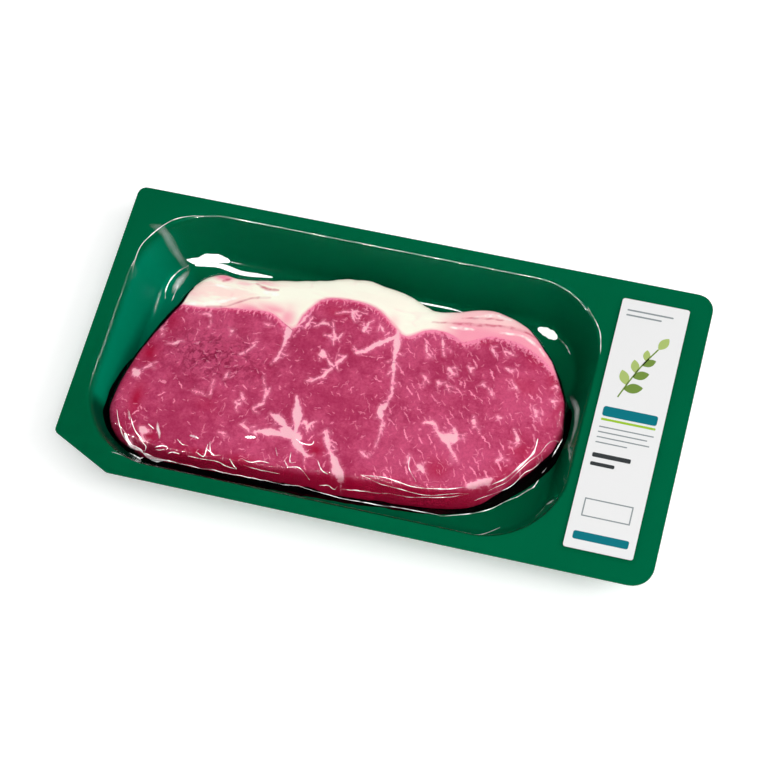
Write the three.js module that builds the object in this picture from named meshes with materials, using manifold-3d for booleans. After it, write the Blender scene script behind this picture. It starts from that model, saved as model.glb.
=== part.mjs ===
// A skin-packed sirloin steak: a formed plastic tray with a wide end flange, the steak and its
// fat cap lying in the recess, a clear film drawn down over them, and a paper label.
// Millimetres, +Z up. X runs along the tray towards the label, Y towards the fat cap.
// The origin is the centre of the tray's underside, which is the face it rests on.
import * as THREE from "three";
import { mergeVertices } from "three/addons/utils/BufferGeometryUtils.js";
import Module from "manifold-3d";

const wasm = await Module();
wasm.setup();

// Driving dimensions
const tray = { length: 280, width: 148, height: 26, wall: 0.8 };
const clippedCorner = { alongX: 29.5, alongY: 14.5, round: 2.5 };
const cornerRound = { backLeft: 4, backRight: 8, frontRight: 10 };
const recess = { centreX: -18.75, halfLength: 112.75, halfWidth: 66.5, corner: 38 };
const recessWall = { lean: 10.5, rimRound: 2.2, footRound: 5 };
const meat = { underside: 1.15, top: 19.4, bulgeHeight: 10.5, wallClearance: 1.4 };
const film = { gap: 0.3, thickness: 0.4, edgeInset: 0.6, tentWidth: 8.5, tentSag: 1.6 };
const label = { centreX: 114.2, centreY: 0.6, width: 31.4, length: 127, thickness: 0.3 };
const cutGap = 0.35;
const cornerSteps = 8;
const straightStep = 17;
const closestTurn = 0.022;
const colours = {
  tray: 0x00623f,
  lean: 0xb23a5c,
  fat: 0xf6e2d2,
  film: 0xe9f2ef,
  label: 0xececec,
};

// The steak's widest outline, anticlockwise from its front left corner
const steakOutline = [
  [-122.0, -42.0], [-113.5, -52.5], [-98.0, -56.6], [-74.0, -57.4], [-48.0, -56.2], [-20.0, -54.6],
  [8.0, -51.8], [34.0, -49.4], [52.0, -45.2], [68.0, -33.6], [79.0, -20.6], [85.4, -6.0],
  [83.6, 10.0], [77.6, 24.4], [69.6, 34.8], [58.0, 45.0], [42.0, 50.0], [24.0, 45.8],
  [12.0, 43.4], [1.0, 46.0], [-9.0, 51.8], [-25.0, 53.2], [-44.0, 48.6], [-66.0, 43.4],
  [-82.0, 40.4], [-92.0, 40.6], [-101.0, 33.4], [-106.5, 22.6], [-112.5, 8.0], [-118.6, -10.0],
];

// The seam between the lean meat and the fat cap, from the left side round to the right
const fatSeam = [
  [-130.0, 19.0], [-104.0, 19.6], [-94.0, 19.0], [-76.0, 22.4], [-60.0, 23.4], [-53.0, 19.4],
  [-48.4, 19.2], [-45.0, 28.0], [-38.5, 36.8], [-27.0, 39.2], [-12.5, 37.2], [-3.0, 30.6],
  [4.0, 26.4], [12.5, 31.4], [22.0, 32.6], [32.0, 29.2], [41.0, 34.6], [54.0, 34.6],
  [66.0, 30.2], [76.0, 23.0], [95.0, 8.0],
];

// Low swellings and dips of the steak's upper face: centre, reach along X and Y, height
const steakRelief = [
  [-84, -16, 30, 26, 1.1],
  [-25, 8, 22, 26, 0.9],
  [44, -4, 30, 26, 1.2],
  [3, -2, 6, 34, -0.9],
  [-51, 8, 5, 16, -0.8],
  [-33, -46, 16, 9, -1.0],
  [-30, 46, 46, 8, -0.6],
];

// The recess's wall in section
const wallTan = recessWall.lean / (tray.height - tray.wall);

// A line of [inset, height] points with its two inner corners rounded
function roundedProfile(corners, radii, steps) {
  const points = [];
  for (let i = 1; i < corners.length - 1; i++) {
    const here = new THREE.Vector2(...corners[i]);
    const back = new THREE.Vector2(...corners[i - 1]).sub(here).normalize();
    const on = new THREE.Vector2(...corners[i + 1]).sub(here).normalize();
    const half = Math.acos(THREE.MathUtils.clamp(back.dot(on), -1, 1)) / 2;
    const radius = radii[i - 1];
    const middle = here.clone().add(back.clone().add(on).normalize().multiplyScalar(radius / Math.sin(half)));
    const from = here.clone().addScaledVector(back, radius / Math.tan(half)).sub(middle);
    const to = here.clone().addScaledVector(on, radius / Math.tan(half)).sub(middle);
    const turn = Math.atan2(from.cross(to), from.dot(to));
    for (let k = 0; k <= steps; k++) {
      points.push(from.clone().rotateAround(new THREE.Vector2(), (turn * k) / steps).add(middle));
    }
  }
  return points;
}

// The tray's section from the floor out to the flange, offset outwards by a wall thickness
function traySection(outward) {
  const slant = Math.hypot(1, wallTan);
  const floorZ = tray.wall - outward;
  const flangeZ = tray.height - outward;
  const wallInset = (z) => (tray.height - z) * wallTan - outward * slant;
  const corners = [
    [recess.halfWidth, floorZ],
    [wallInset(floorZ), floorZ],
    [wallInset(flangeZ), flangeZ],
    [-tray.width, flangeZ],
  ];
  return roundedProfile(corners, [recessWall.footRound + outward, recessWall.rimRound - outward], 3);
}

// How far the recess's outline lies from its centre in one direction, at an inset from the rim
function recessReach(angle, inset) {
  const a = recess.halfLength - inset;
  const b = recess.halfWidth - inset;
  const r = Math.max(recess.corner - inset, 0);
  const c = Math.abs(Math.cos(angle));
  const s = Math.abs(Math.sin(angle));
  if (a * s <= (b - r) * c) return a / c;
  if (b * c <= (a - r) * s) return b / s;
  const along = c * (a - r) + s * (b - r);
  return along + Math.sqrt(along * along - (a - r) ** 2 - (b - r) ** 2 + r * r);
}

// A point in the frame at a distance and height from the recess's centre line
function pointAt(angle, reach, z) {
  return new THREE.Vector3(recess.centreX + reach * Math.cos(angle), reach * Math.sin(angle), z);
}

// An outline with rounded corners, given as [x, y, radius] in order
function roundedOutline(corners, steps) {
  const count = corners.length;
  return corners.flatMap((corner, i) => {
    const [before, , after] = [corners[(i + count - 1) % count], corner, corners[(i + 1) % count]];
    const line = [before.slice(0, 2), corner.slice(0, 2), after.slice(0, 2)];
    return roundedProfile(line, [corner[2]], steps);
  });
}

function trayOutline() {
  const x = tray.length / 2;
  const y = tray.width / 2;
  return roundedOutline(
    [
      [x, -y, cornerRound.frontRight],
      [x, y, cornerRound.backRight],
      [-x, y, cornerRound.backLeft],
      [-x, -y + clippedCorner.alongY, clippedCorner.round],
      [-x + clippedCorner.alongX, -y, clippedCorner.round],
    ],
    3,
  );
}

// How far a closed outline lies from the recess's centre in one direction
function outlineReach(points, angle) {
  const dx = Math.cos(angle);
  const dy = Math.sin(angle);
  let reach = 0;
  points.forEach((p, i) => {
    const q = points[(i + 1) % points.length];
    const px = p.x - recess.centreX;
    const ex = q.x - p.x;
    const ey = q.y - p.y;
    const cross = dx * ey - dy * ex;
    if (Math.abs(cross) < 1e-9) return;
    const t = (px * ey - p.y * ex) / cross;
    const u = (px * dy - p.y * dx) / cross;
    if (t > 0 && u >= -1e-9 && u <= 1 + 1e-9) reach = Math.max(reach, t);
  });
  return reach;
}

// The tray's directions round the recess's centre: closest at the recess's round corners, with one
// through each point of the tray's outline
function directionsAround(outline) {
  const a = recess.halfLength;
  const b = recess.halfWidth;
  const r = recess.corner;
  const rim = roundedOutline([[a, -b, r], [a, b, r], [-a, b, r], [-a, -b, r]], cornerSteps);
  const fine = rim.flatMap((p, i) => {
    const q = rim[(i + 1) % rim.length];
    const parts = Math.ceil(p.distanceTo(q) / straightStep);
    return Array.from({ length: parts }, (_, k) => p.clone().lerp(q, k / parts));
  });
  const own = outline.map((p) => Math.atan2(p.y, p.x - recess.centreX));
  const apart = (s, t) => Math.abs(Math.atan2(Math.sin(s - t), Math.cos(s - t)));
  const others = fine.map((p) => Math.atan2(p.y, p.x));
  return [...own, ...others.filter((s) => own.every((t) => apart(s, t) > closestTurn))].sort((s, t) => s - t);
}

// A closed body from an upper and a lower surface of rings that meet at the last ring.
// Each surface is a middle point and rings of points, from the middle outwards.
function lensGeometry(upper, lower) {
  const count = upper.rings[0].length;
  const position = [];
  const index = [];
  const put = (p) => position.push(p.x, p.y, p.z) / 3 - 1;
  const addSurface = ({ middle, rings }, flip) => {
    const centre = put(middle);
    const rows = rings.map((ring) => ring.map(put));
    const face = (a, b, c) => index.push(a, flip ? c : b, flip ? b : c);
    for (let i = 0; i < count; i++) {
      const j = (i + 1) % count;
      face(centre, rows[0][i], rows[0][j]);
      for (let k = 1; k < rows.length; k++) {
        face(rows[k - 1][i], rows[k][i], rows[k][j]);
        face(rows[k - 1][i], rows[k][j], rows[k - 1][j]);
      }
    }
    return rows.at(-1);
  };
  const top = addSurface(upper, false);
  const bottom = addSurface(lower, true);
  for (let i = 0; i < count; i++) {
    const j = (i + 1) % count;
    index.push(top[i], bottom[i], bottom[j], top[i], bottom[j], top[j]);
  }
  const geometry = new THREE.BufferGeometry();
  geometry.setAttribute("position", new THREE.Float32BufferAttribute(position, 3));
  geometry.setIndex(index);
  return mergeVertices(geometry, 1e-4);
}

// A closed body's two surfaces, moved apart along a surface's own normals
function offsetSurface({ middle, rings }, distance) {
  const count = rings[0].length;
  const at = (k, i) => (k < 0 ? middle : rings[Math.min(k, rings.length - 1)][(i + count) % count]);
  const moved = rings.map((ring, k) =>
    ring.map((p, i) => {
      const out = at(k + 1, i).clone().sub(at(k - 1, i));
      const round = at(k, i + 1).clone().sub(at(k, i - 1));
      return p.clone().addScaledVector(out.cross(round).normalize(), distance);
    }),
  );
  return { middle: middle.clone().setZ(middle.z + distance), rings: moved };
}

function trayGeometry() {
  const outline = trayOutline();
  const angles = directionsAround(outline);
  const surface = (outward) => {
    const rings = traySection(outward).map(({ x: inset, y: z }) =>
      angles.map((angle) => pointAt(angle, recessReach(angle, inset), z)),
    );
    const flangeZ = tray.height - outward;
    rings.push(angles.map((angle) => pointAt(angle, outlineReach(outline, angle), flangeZ)));
    return { middle: pointAt(0, 0, tray.wall - outward), rings };
  };
  return lensGeometry(surface(0), surface(tray.wall));
}

// The steak's upper face
function steakTop(x, y) {
  return steakRelief.reduce(
    (z, [cx, cy, rx, ry, rise]) => z + rise * Math.exp(-(((x - cx) / rx) ** 2) - ((y - cy) / ry) ** 2),
    meat.top,
  );
}

const steakCurve = new THREE.CatmullRomCurve3(
  steakOutline.map(([x, y]) => new THREE.Vector3(x, y, 0)), true, "centripetal",
);
const steakEdge = steakCurve.getPoints(240).slice(0, -1);

// Rings of the steak: how far in from its widest outline, and how far below its upper face
const steakShoulder = [
  { share: 0.3 }, { share: 0.62 }, { inset: 9, drop: 0 }, { inset: 3.2, drop: 0.6 }, { inset: 0.9, drop: 2.6 },
];

function steakRing(angles, { share, inset, drop }) {
  return angles.map((angle) => {
    const edge = outlineReach(steakEdge, angle);
    const reach = share ? edge * share : edge - inset;
    const flat = pointAt(angle, reach, 0);
    return flat.setZ(steakTop(flat.x, flat.y) - (drop ?? 0));
  });
}

function steakSideRing(angles, inset, z) {
  return angles.map((angle) => {
    const wall = recessReach(angle, (tray.height - z) * wallTan) - meat.wallClearance;
    return pointAt(angle, Math.min(outlineReach(steakEdge, angle) - inset, wall), z);
  });
}

function steakSolid() {
  const angles = directionsAround(trayOutline());
  const middle = pointAt(0, 0, 0);
  const upper = {
    middle: middle.clone().setZ(steakTop(middle.x, middle.y)),
    rings: [...steakShoulder.map((ring) => steakRing(angles, ring)), steakSideRing(angles, 0, meat.bulgeHeight)],
  };
  const lower = {
    middle: middle.clone().setZ(meat.underside),
    rings: [steakSideRing(angles, 8, meat.underside), steakSideRing(angles, 2.6, meat.underside + 2.6),
      steakSideRing(angles, 0, meat.bulgeHeight - 2)],
  };
  return solidFrom(lensGeometry(upper, lower));
}

function solidFrom(geometry) {
  const bare = mergeVertices(new THREE.BufferGeometry()
    .setAttribute("position", (geometry.index ? geometry.toNonIndexed() : geometry).getAttribute("position")), 1e-4);
  return new wasm.Manifold(new wasm.Mesh({
    numProp: 3,
    vertProperties: new Float32Array(bare.getAttribute("position").array),
    triVerts: new Uint32Array(bare.index.array),
  }));
}

function geometryFrom(solid) {
  const made = solid.getMesh();
  const geometry = new THREE.BufferGeometry();
  geometry.setAttribute("position", new THREE.BufferAttribute(new Float32Array(made.vertProperties), 3));
  geometry.setIndex(new THREE.BufferAttribute(new Uint32Array(made.triVerts), 1));
  geometry.computeVertexNormals();
  return geometry;
}

// A tall block that covers everything on the fat side of the seam, moved off the seam by a distance
function fatSideBlock(offset) {
  const seam = new THREE.CatmullRomCurve3(fatSeam.map(([x, y]) => new THREE.Vector3(x, y, 0)), false, "centripetal");
  const points = seam.getPoints(90);
  const moved = points.map((p, i) => {
    const along = points[Math.min(i + 1, points.length - 1)].clone().sub(points[Math.max(i - 1, 0)]).normalize();
    return new THREE.Vector2(p.x - along.y * offset, p.y + along.x * offset);
  });
  const far = tray.width;
  const shape = new THREE.Shape([
    ...moved, new THREE.Vector2(moved.at(-1).x, far), new THREE.Vector2(moved[0].x, far),
  ]);
  return solidFrom(new THREE.ExtrudeGeometry(shape, { depth: tray.height * 2, bevelEnabled: false }));
}

// The film's section in one direction, as [reach, height] on top of what it is drawn down on
function filmSection(angle, outlineEdge) {
  const edge = outlineReach(steakEdge, angle);
  const from = pointAt(angle, edge - 0.9, 0);
  const startZ = steakTop(from.x, from.y) - 2.6;
  const section = [...traySection(0)].map(({ x: inset, y: z }) => [recessReach(angle, inset), z]);
  const [floorEdge, wallTop, flangeStart] = [section[0], section[4], section[7]];
  const surfaceZ = (reach) => {
    if (reach <= floorEdge[0]) return floorEdge[1];
    const k = section.findIndex(([r]) => r >= reach);
    if (k < 0) return tray.height;
    const [[r0, z0], [r1, z1]] = [section[k - 1], section[k]];
    return z0 + ((z1 - z0) * (reach - r0)) / (r1 - r0);
  };
  const tentZ = (u) => tray.wall + (startZ - tray.wall) * (1 - u) ** film.tentSag;
  let foot = 0;
  while (foot < 1 && tentZ(foot) > surfaceZ(edge - 0.9 + foot * film.tentWidth)) foot += 0.01;
  const tent = (u) => [edge - 0.9 + u * film.tentWidth, tentZ(u)];
  const footReach = edge - 0.9 + foot * film.tentWidth;
  const onTray = [0.34, 0.67].map((share) => {
    const start = Math.max(footReach, floorEdge[0]);
    const reach = footReach < floorEdge[0] && share < 0.5 ? floorEdge[0] : start + (wallTop[0] - start) * share * 0.6;
    return [reach, surfaceZ(reach)];
  });
  return [
    tent(foot * 0.45), [footReach, surfaceZ(footReach)], ...onTray,
    wallTop, section[5], section[6], flangeStart, [outlineEdge - film.edgeInset, tray.height],
  ];
}

function filmGeometry() {
  const outline = trayOutline();
  const angles = directionsAround(outline);
  const sections = angles.map((angle) => filmSection(angle, outlineReach(outline, angle)));
  const overSteak = steakShoulder.map((ring) => steakRing(angles, ring));
  const beyond = sections[0].map((_, k) => angles.map((angle, i) => pointAt(angle, ...sections[i][k])));
  const middle = pointAt(0, 0, 0);
  middle.setZ(steakTop(middle.x, middle.y));
  const under = { middle, rings: [...overSteak, ...beyond] };
  return lensGeometry(offsetSurface(under, film.gap + film.thickness), offsetSurface(under, film.gap));
}

function labelGeometry() {
  const shape = new THREE.Shape();
  shape.moveTo(-label.width / 2, -label.length / 2);
  shape.lineTo(label.width / 2, -label.length / 2);
  shape.lineTo(label.width / 2, label.length / 2);
  shape.lineTo(-label.width / 2, label.length / 2);
  return new THREE.ExtrudeGeometry(shape, { depth: label.thickness, bevelEnabled: false });
}

function part(name, geometry, color, roughness, opacity = 1) {
  const material = new THREE.MeshStandardMaterial({
    color, roughness, metalness: 0, opacity, transparent: opacity < 1,
  });
  const mesh = new THREE.Mesh(geometry, material);
  mesh.name = name;
  return mesh;
}

const pack = new THREE.Group();
const steak = steakSolid();
pack.add(part("tray", trayGeometry(), colours.tray, 0.32));
pack.add(part("steak_lean", geometryFrom(steak.subtract(fatSideBlock(-cutGap / 2))), colours.lean, 0.4));
pack.add(part("steak_fat_cap", geometryFrom(steak.intersect(fatSideBlock(cutGap / 2))), colours.fat, 0.45));
pack.add(part("film", filmGeometry(), colours.film, 0.08, 0.2));
const labelMesh = part("label", labelGeometry(), colours.label, 0.6);
labelMesh.position.set(label.centreX, label.centreY, tray.height + 2 * film.gap + film.thickness);
pack.add(labelMesh);

export default pack;
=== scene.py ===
import bpy
import numpy as np
from mathutils import Matrix, Vector


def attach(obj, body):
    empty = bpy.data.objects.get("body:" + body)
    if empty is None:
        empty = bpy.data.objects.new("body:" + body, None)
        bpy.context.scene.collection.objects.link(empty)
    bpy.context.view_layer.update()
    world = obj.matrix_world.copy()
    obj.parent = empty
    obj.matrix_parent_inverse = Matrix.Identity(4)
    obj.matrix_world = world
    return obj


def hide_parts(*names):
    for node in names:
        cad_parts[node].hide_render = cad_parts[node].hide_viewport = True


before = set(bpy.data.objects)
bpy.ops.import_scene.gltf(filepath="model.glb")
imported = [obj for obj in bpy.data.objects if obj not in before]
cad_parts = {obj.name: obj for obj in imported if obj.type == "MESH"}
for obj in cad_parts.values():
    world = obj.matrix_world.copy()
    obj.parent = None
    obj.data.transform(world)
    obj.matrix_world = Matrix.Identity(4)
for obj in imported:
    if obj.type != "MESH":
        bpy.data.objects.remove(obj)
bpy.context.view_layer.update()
mm = 0.001  # every length below is in millimetres


# curves, distances and meshes that several pieces share
def smoothCurve(points, closed, steps):
    # Catmull-Rom curve on centripetal knots: each stretch is the blend of the two parabolas at its ends
    p = np.asarray(points, float)
    around = [p[-1:], p, p[:2]] if closed else [2 * p[:1] - p[1:2], p, 2 * p[-1:] - p[-2:-1]]
    a, b, c, d = (np.vstack(around)[k : len(p) + closed - 1 + k, None] for k in range(4))
    knot = lambda q, r: np.sqrt(np.linalg.norm(r - q, axis=2))[..., None]
    t1 = knot(a, b)
    t2 = t1 + knot(b, c)
    t3 = t2 + knot(c, d)
    t = t1 + (t2 - t1) * (np.arange(steps) / steps)[None, :, None]
    a1 = ((t1 - t) * a + t * b) / t1
    a2 = ((t2 - t) * b + (t - t1) * c) / (t2 - t1)
    a3 = ((t3 - t) * c + (t - t2) * d) / (t3 - t2)
    b1 = ((t2 - t) * a1 + t * a2) / t2
    b2 = ((t3 - t) * a2 + (t - t1) * a3) / (t3 - t1)
    curve = (((t2 - t) * b1 + (t - t1) * b2) / (t2 - t1)).reshape(-1, p.shape[1])
    return curve if closed else np.vstack([curve, p[-1:]])


def roundedLine(corners, radii, steps):
    # a bent line whose inner corners become arcs that touch both legs
    points = []
    for before, here, after, radius in zip(corners, corners[1:], corners[2:], radii):
        before, here, after = (np.asarray(q, float) for q in (before, here, after))
        back = (before - here) / np.linalg.norm(before - here)
        on = (after - here) / np.linalg.norm(after - here)
        half = np.arccos(np.clip(back @ on, -1, 1)) / 2
        middle = here + (back + on) / np.linalg.norm(back + on) * radius / np.sin(half)
        first = here + back * radius / np.tan(half) - middle
        last = here + on * radius / np.tan(half) - middle
        turn = np.arctan2(first[0] * last[1] - first[1] * last[0], first @ last)
        angle = turn * np.linspace(0, 1, steps + 1)
        points.append(np.c_[first[0] * np.cos(angle) - first[1] * np.sin(angle),
                            first[0] * np.sin(angle) + first[1] * np.cos(angle)] + middle)
    return np.vstack(points)


def smoothStep(value, low, high):
    t = np.clip((value - low) / (high - low), 0, 1)
    return t * t * (3 - 2 * t)


def waves(x, y, seed, longest, octaves=5, perOctave=5):
    # sum of sine waves in seeded directions, each octave 0.6 times as long and as high, about -1 to 1
    rng = np.random.default_rng(seed)
    total = np.zeros(np.broadcast(x, y).shape)
    for octave in range(octaves):
        length = longest * 0.6**octave
        for direction, phase in rng.uniform(0, 2 * np.pi, (perOctave, 2)):
            total = total + 0.6**octave * np.sin(
                (x * np.cos(direction) + y * np.sin(direction)) * 2 * np.pi / length + phase)
    return total / (perOctave * 1.1)


def reachTo(outline, theta, centre):
    # distance from the centre to a closed outline in each direction: the farthest crossing of the ray
    p = outline - centre
    e = np.roll(p, -1, 0) - p
    dx, dy = np.cos(theta)[:, None], np.sin(theta)[:, None]
    cross = dx * e[:, 1] - dy * e[:, 0]
    cross = np.where(np.abs(cross) < 1e-12, 1e-12, cross)
    t = (p[:, 0] * e[:, 1] - p[:, 1] * e[:, 0]) / cross
    u = (p[:, 0] * dy - p[:, 1] * dx) / cross
    return np.where((t > 0) & (u >= -1e-9) & (u <= 1 + 1e-9), t, 0).max(1)


def distanceToLine(x, y, line, halfWidths=None):
    # shortest distance from each point to an open line of straight stretches, less its half width there
    best = np.full(x.shape, 1e9)
    halves = np.zeros(len(line)) if halfWidths is None else halfWidths
    for (ax, ay), (bx, by), first, last in zip(line, line[1:], halves, halves[1:]):
        ex, ey = bx - ax, by - ay
        t = np.clip(((x - ax) * ex + (y - ay) * ey) / (ex * ex + ey * ey), 0, 1)
        best = np.minimum(best, np.hypot(x - ax - t * ex, y - ay - t * ey) - first - (last - first) * t)
    return best


def offsetRings(rings, distance):
    # every point moved along the surface normal: the cross product of the ways out and round
    out = np.gradient(rings, axis=0)
    normal = np.cross(out, np.roll(rings, -1, 1) - np.roll(rings, 1, 1))
    normal /= np.linalg.norm(normal, axis=2, keepdims=True) + 1e-12
    return rings + normal * distance


def quadFaces(rows, columns, first=0):
    # four corners of each cell of a grid whose columns close round on themselves
    index = first + np.arange(rows * columns).reshape(rows, columns)
    across = np.roll(index, -1, 1)
    return np.stack([index[:-1], index[1:], across[1:], across[:-1]], -1).reshape(-1, 4)


def makePiece(name, points, quads, fans=(), sharp=None):
    # a mesh from points in millimetres, faces of four corners and any other faces
    mesh = bpy.data.meshes.new(name)
    mesh.from_pydata((points * mm).tolist(), [], quads.tolist() + [list(f) for f in fans])
    mesh.shade_smooth()
    if sharp:
        mesh.set_sharp_from_angle(angle=np.radians(sharp))
    piece = bpy.data.objects.new(name, mesh)
    bpy.context.scene.collection.objects.link(piece)
    return piece


def addField(piece, name, values):
    layer = piece.data.attributes.new(name, "FLOAT", "POINT")
    layer.data.foreach_set("value", np.asarray(values, np.float32).ravel())


def lensPiece(name, upper, lower, sharp=None):
    # closed body of two stacks of rings, from the middle out, that meet along their last rings
    count = upper.shape[1]
    points = np.vstack([upper.reshape(-1, 3), lower.reshape(-1, 3),
                        upper[0].mean(0)[None], lower[0].mean(0)[None]])
    start = upper.shape[0] * count
    lastTop = start - count + np.arange(count)
    lastLow = start + (lower.shape[0] - 1) * count + np.arange(count)
    side = np.stack([lastTop, lastLow, np.roll(lastLow, -1), np.roll(lastTop, -1)], -1)
    quads = np.vstack([quadFaces(upper.shape[0], count),
                       quadFaces(lower.shape[0], count, start)[:, ::-1], side])
    ring = np.arange(count)
    top, low = len(points) - 2, len(points) - 1
    fans = np.vstack([np.stack([np.full(count, top), ring, np.roll(ring, -1)], -1),
                      np.stack([np.full(count, low), start + np.roll(ring, -1), start + ring], -1)])
    return makePiece(name, points, quads, fans.tolist(), sharp), points


def tubesPiece(name, bodies, sharp=None):
    # closed bodies, each a cross-section loop carried along a path with both ends filled, in one mesh
    quads, ends, first = [], [], 0
    for loops in bodies:
        rows, count = loops.shape[:2]
        quads.append(quadFaces(rows, count, first))
        last = first + rows * count
        ends += [list(range(first, first + count)), list(range(last - 1, last - 1 - count, -1))]
        first = last
    points = np.vstack([loops.reshape(-1, 3) for loops in bodies])
    return makePiece(name, points, np.vstack(quads), ends, sharp), points


# materials and node groups
def linear(red, green, blue):
    # screen colour 0 to 255 turned into light: the usual curve with its straight foot
    c = np.array([red, green, blue]) / 255
    c = np.where(c <= 0.04045, c / 12.92, ((c + 0.055) / 1.055) ** 2.4)
    return (*c, 1)


def newMaterial(name, **settings):
    material = bpy.data.materials.new(name)
    material.use_nodes = True
    shader = material.node_tree.nodes["Principled BSDF"]
    for socket, value in settings.items():
        shader.inputs[socket.replace("_", " ")].default_value = value
    return material, material.node_tree, shader


def addNode(tree, kind, inputs=None, **settings):
    node = tree.nodes.new("ShaderNode" + kind)
    for key, value in settings.items():
        setattr(node, key, value)
    for socket, value in (inputs or {}).items():
        if isinstance(value, bpy.types.NodeSocket):
            tree.links.new(value, node.inputs[socket])
        else:
            node.inputs[socket].default_value = value
    return node


def mathNode(tree, operation, first, second=0.0, third=0.0, clamp=False):
    return addNode(tree, "Math", {0: first, 1: second, 2: third}, operation=operation,
                   use_clamp=clamp).outputs[0]


def stepNode(tree, value, low, high):
    return addNode(tree, "MapRange", {"Value": value, "From Min": low, "From Max": high},
                   interpolation_type="SMOOTHSTEP").outputs[0]


def mixColour(tree, share, first, second):
    node = addNode(tree, "Mix", data_type="RGBA")
    for socket, value in (("Factor", share), ("A", first), ("B", second)):
        kind = "VALUE" if socket == "Factor" else "RGBA"
        target = next(s for s in node.inputs if s.name == socket and s.type == kind)
        if isinstance(value, bpy.types.NodeSocket):
            tree.links.new(value, target)
        else:
            target.default_value = value
    return next(s for s in node.outputs if s.type == "RGBA")


def fieldNode(tree, name):
    return addNode(tree, "Attribute", attribute_name=name).outputs["Fac"]


def noiseNode(tree, where, scale, detail, roughness=0.5, distortion=0.0):
    return addNode(tree, "TexNoise", {"Vector": where, "Scale": scale, "Detail": detail,
                                      "Roughness": roughness, "Distortion": distortion}).outputs["Fac"]


def product(tree, first, second):
    return mathNode(tree, "MULTIPLY", first, second)


def scaled(tree, value, factor, plus=0.0):
    # value times factor, plus a third
    return mathNode(tree, "MULTIPLY_ADD", value, factor, plus)


def newGroup(name, inputs, outputs):
    tree = bpy.data.node_groups.new(name, "ShaderNodeTree")
    for label, kind, value in inputs:
        socket = tree.interface.new_socket(label, in_out="INPUT", socket_type="NodeSocket" + kind)
        if value is not None:
            socket.default_value = value
    for label, kind in outputs:
        tree.interface.new_socket(label, in_out="OUTPUT", socket_type="NodeSocket" + kind)
    return tree, tree.nodes.new("NodeGroupInput").outputs, tree.nodes.new("NodeGroupOutput").inputs


def useGroup(tree, group, **inputs):
    node = tree.nodes.new("ShaderNodeGroup")
    node.node_tree = group
    for socket, value in inputs.items():
        target = node.inputs[socket]
        if isinstance(value, bpy.types.NodeSocket):
            tree.links.new(value, target)
        else:
            target.default_value = value
    return node.outputs


def fleckGroup():
    # one short pale stroke in each cell of a flat cell pattern: the offset from the cell's middle is turned
    # by a random angle, squeezed to the stroke's length and width, and shown where its length is below 1
    tree, given, out = newGroup(
        "flecks", [("Vector", "Vector", None), ("Turn", "Float", 0.0), ("Spread", "Float", 1.0),
                   ("Scale", "Float", 250.0), ("Half Length", "Float", 0.0015),
                   ("Half Width", "Float", 0.0003), ("Share", "Float", 0.5), ("Seed", "Float", 0.0)],
        [("Mask", "Float")])
    shift = addNode(tree, "CombineXYZ", {"X": given["Seed"], "Y": product(tree, given["Seed"], 0.7)})
    moved = addNode(tree, "VectorMath", {0: given["Vector"], 1: shift.outputs[0]}, operation="ADD").outputs[0]
    bend = addNode(tree, "TexNoise", {"Vector": moved, "Scale": 420.0, "Detail": 3.0, "Roughness": 0.65})
    bent = addNode(tree, "VectorMath", {0: bend.outputs["Color"], 1: (0.5, 0.5, 0.5)},
                   operation="SUBTRACT").outputs[0]
    bent = addNode(tree, "VectorMath", {0: bent, "Scale": 0.0032}, operation="SCALE").outputs[0]
    moved = addNode(tree, "VectorMath", {0: moved, 1: bent}, operation="ADD").outputs[0]
    cells = addNode(tree, "TexVoronoi", {"Vector": moved, "Scale": given["Scale"]},
                    voronoi_dimensions="2D").outputs
    chance = addNode(tree, "SeparateColor", {0: cells["Color"]}).outputs
    offset = addNode(tree, "VectorMath", {0: moved, 1: cells["Position"]}, operation="SUBTRACT").outputs[0]
    angle = scaled(tree, mathNode(tree, "SUBTRACT", chance[0], 0.5), given["Spread"], given["Turn"])
    turned = addNode(tree, "VectorRotate", {"Vector": offset, "Angle": product(tree, angle, -1.0)},
                     rotation_type="Z_AXIS").outputs[0]
    parts = addNode(tree, "SeparateXYZ", {0: turned}).outputs
    size = scaled(tree, chance[1], 0.8, 0.45)
    along = mathNode(tree, "DIVIDE", parts[0], product(tree, given["Half Length"], size))
    across = mathNode(tree, "DIVIDE", parts[1], product(tree, given["Half Width"], size))
    away = mathNode(tree, "SQRT", mathNode(tree, "ADD", product(tree, along, along),
                                           product(tree, across, across)))
    present = mathNode(tree, "LESS_THAN", chance[2], given["Share"])
    shown = product(tree, stepNode(tree, away, 1.0, 0.6), present)
    tree.links.new(product(tree, shown, scaled(tree, chance[1], 0.5, 0.5)), out["Mask"])
    return tree


def threadGroup():
    # thin wandering threads: where a slow noise crosses its middle value, seen only in patches
    tree, given, out = newGroup(
        "threads", [("Vector", "Vector", None), ("Scale", "Float", 90.0), ("Width", "Float", 0.012),
                    ("Amount", "Float", 0.5), ("Seed", "Float", 0.0)], [("Mask", "Float")])
    noise = addNode(tree, "TexNoise", {"Vector": given["Vector"], "Scale": given["Scale"], "Detail": 3.0,
                                       "W": given["Seed"]}, noise_dimensions="4D").outputs["Fac"]
    away = mathNode(tree, "ABSOLUTE", mathNode(tree, "SUBTRACT", noise, 0.5))
    near = mathNode(tree, "SUBTRACT", 1.0, mathNode(tree, "DIVIDE", away, given["Width"]), clamp=True)
    patch = addNode(tree, "TexNoise", {"Vector": given["Vector"], "Scale": 150.0, "Detail": 1.0,
                                       "W": mathNode(tree, "ADD", given["Seed"], 7.0)},
                    noise_dimensions="4D").outputs["Fac"]
    least = scaled(tree, given["Amount"], -0.3, 0.72)
    seen = stepNode(tree, mathNode(tree, "SUBTRACT", patch, least), 0.0, 0.06)
    tree.links.new(product(tree, near, seen), out["Mask"])
    return tree


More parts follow.
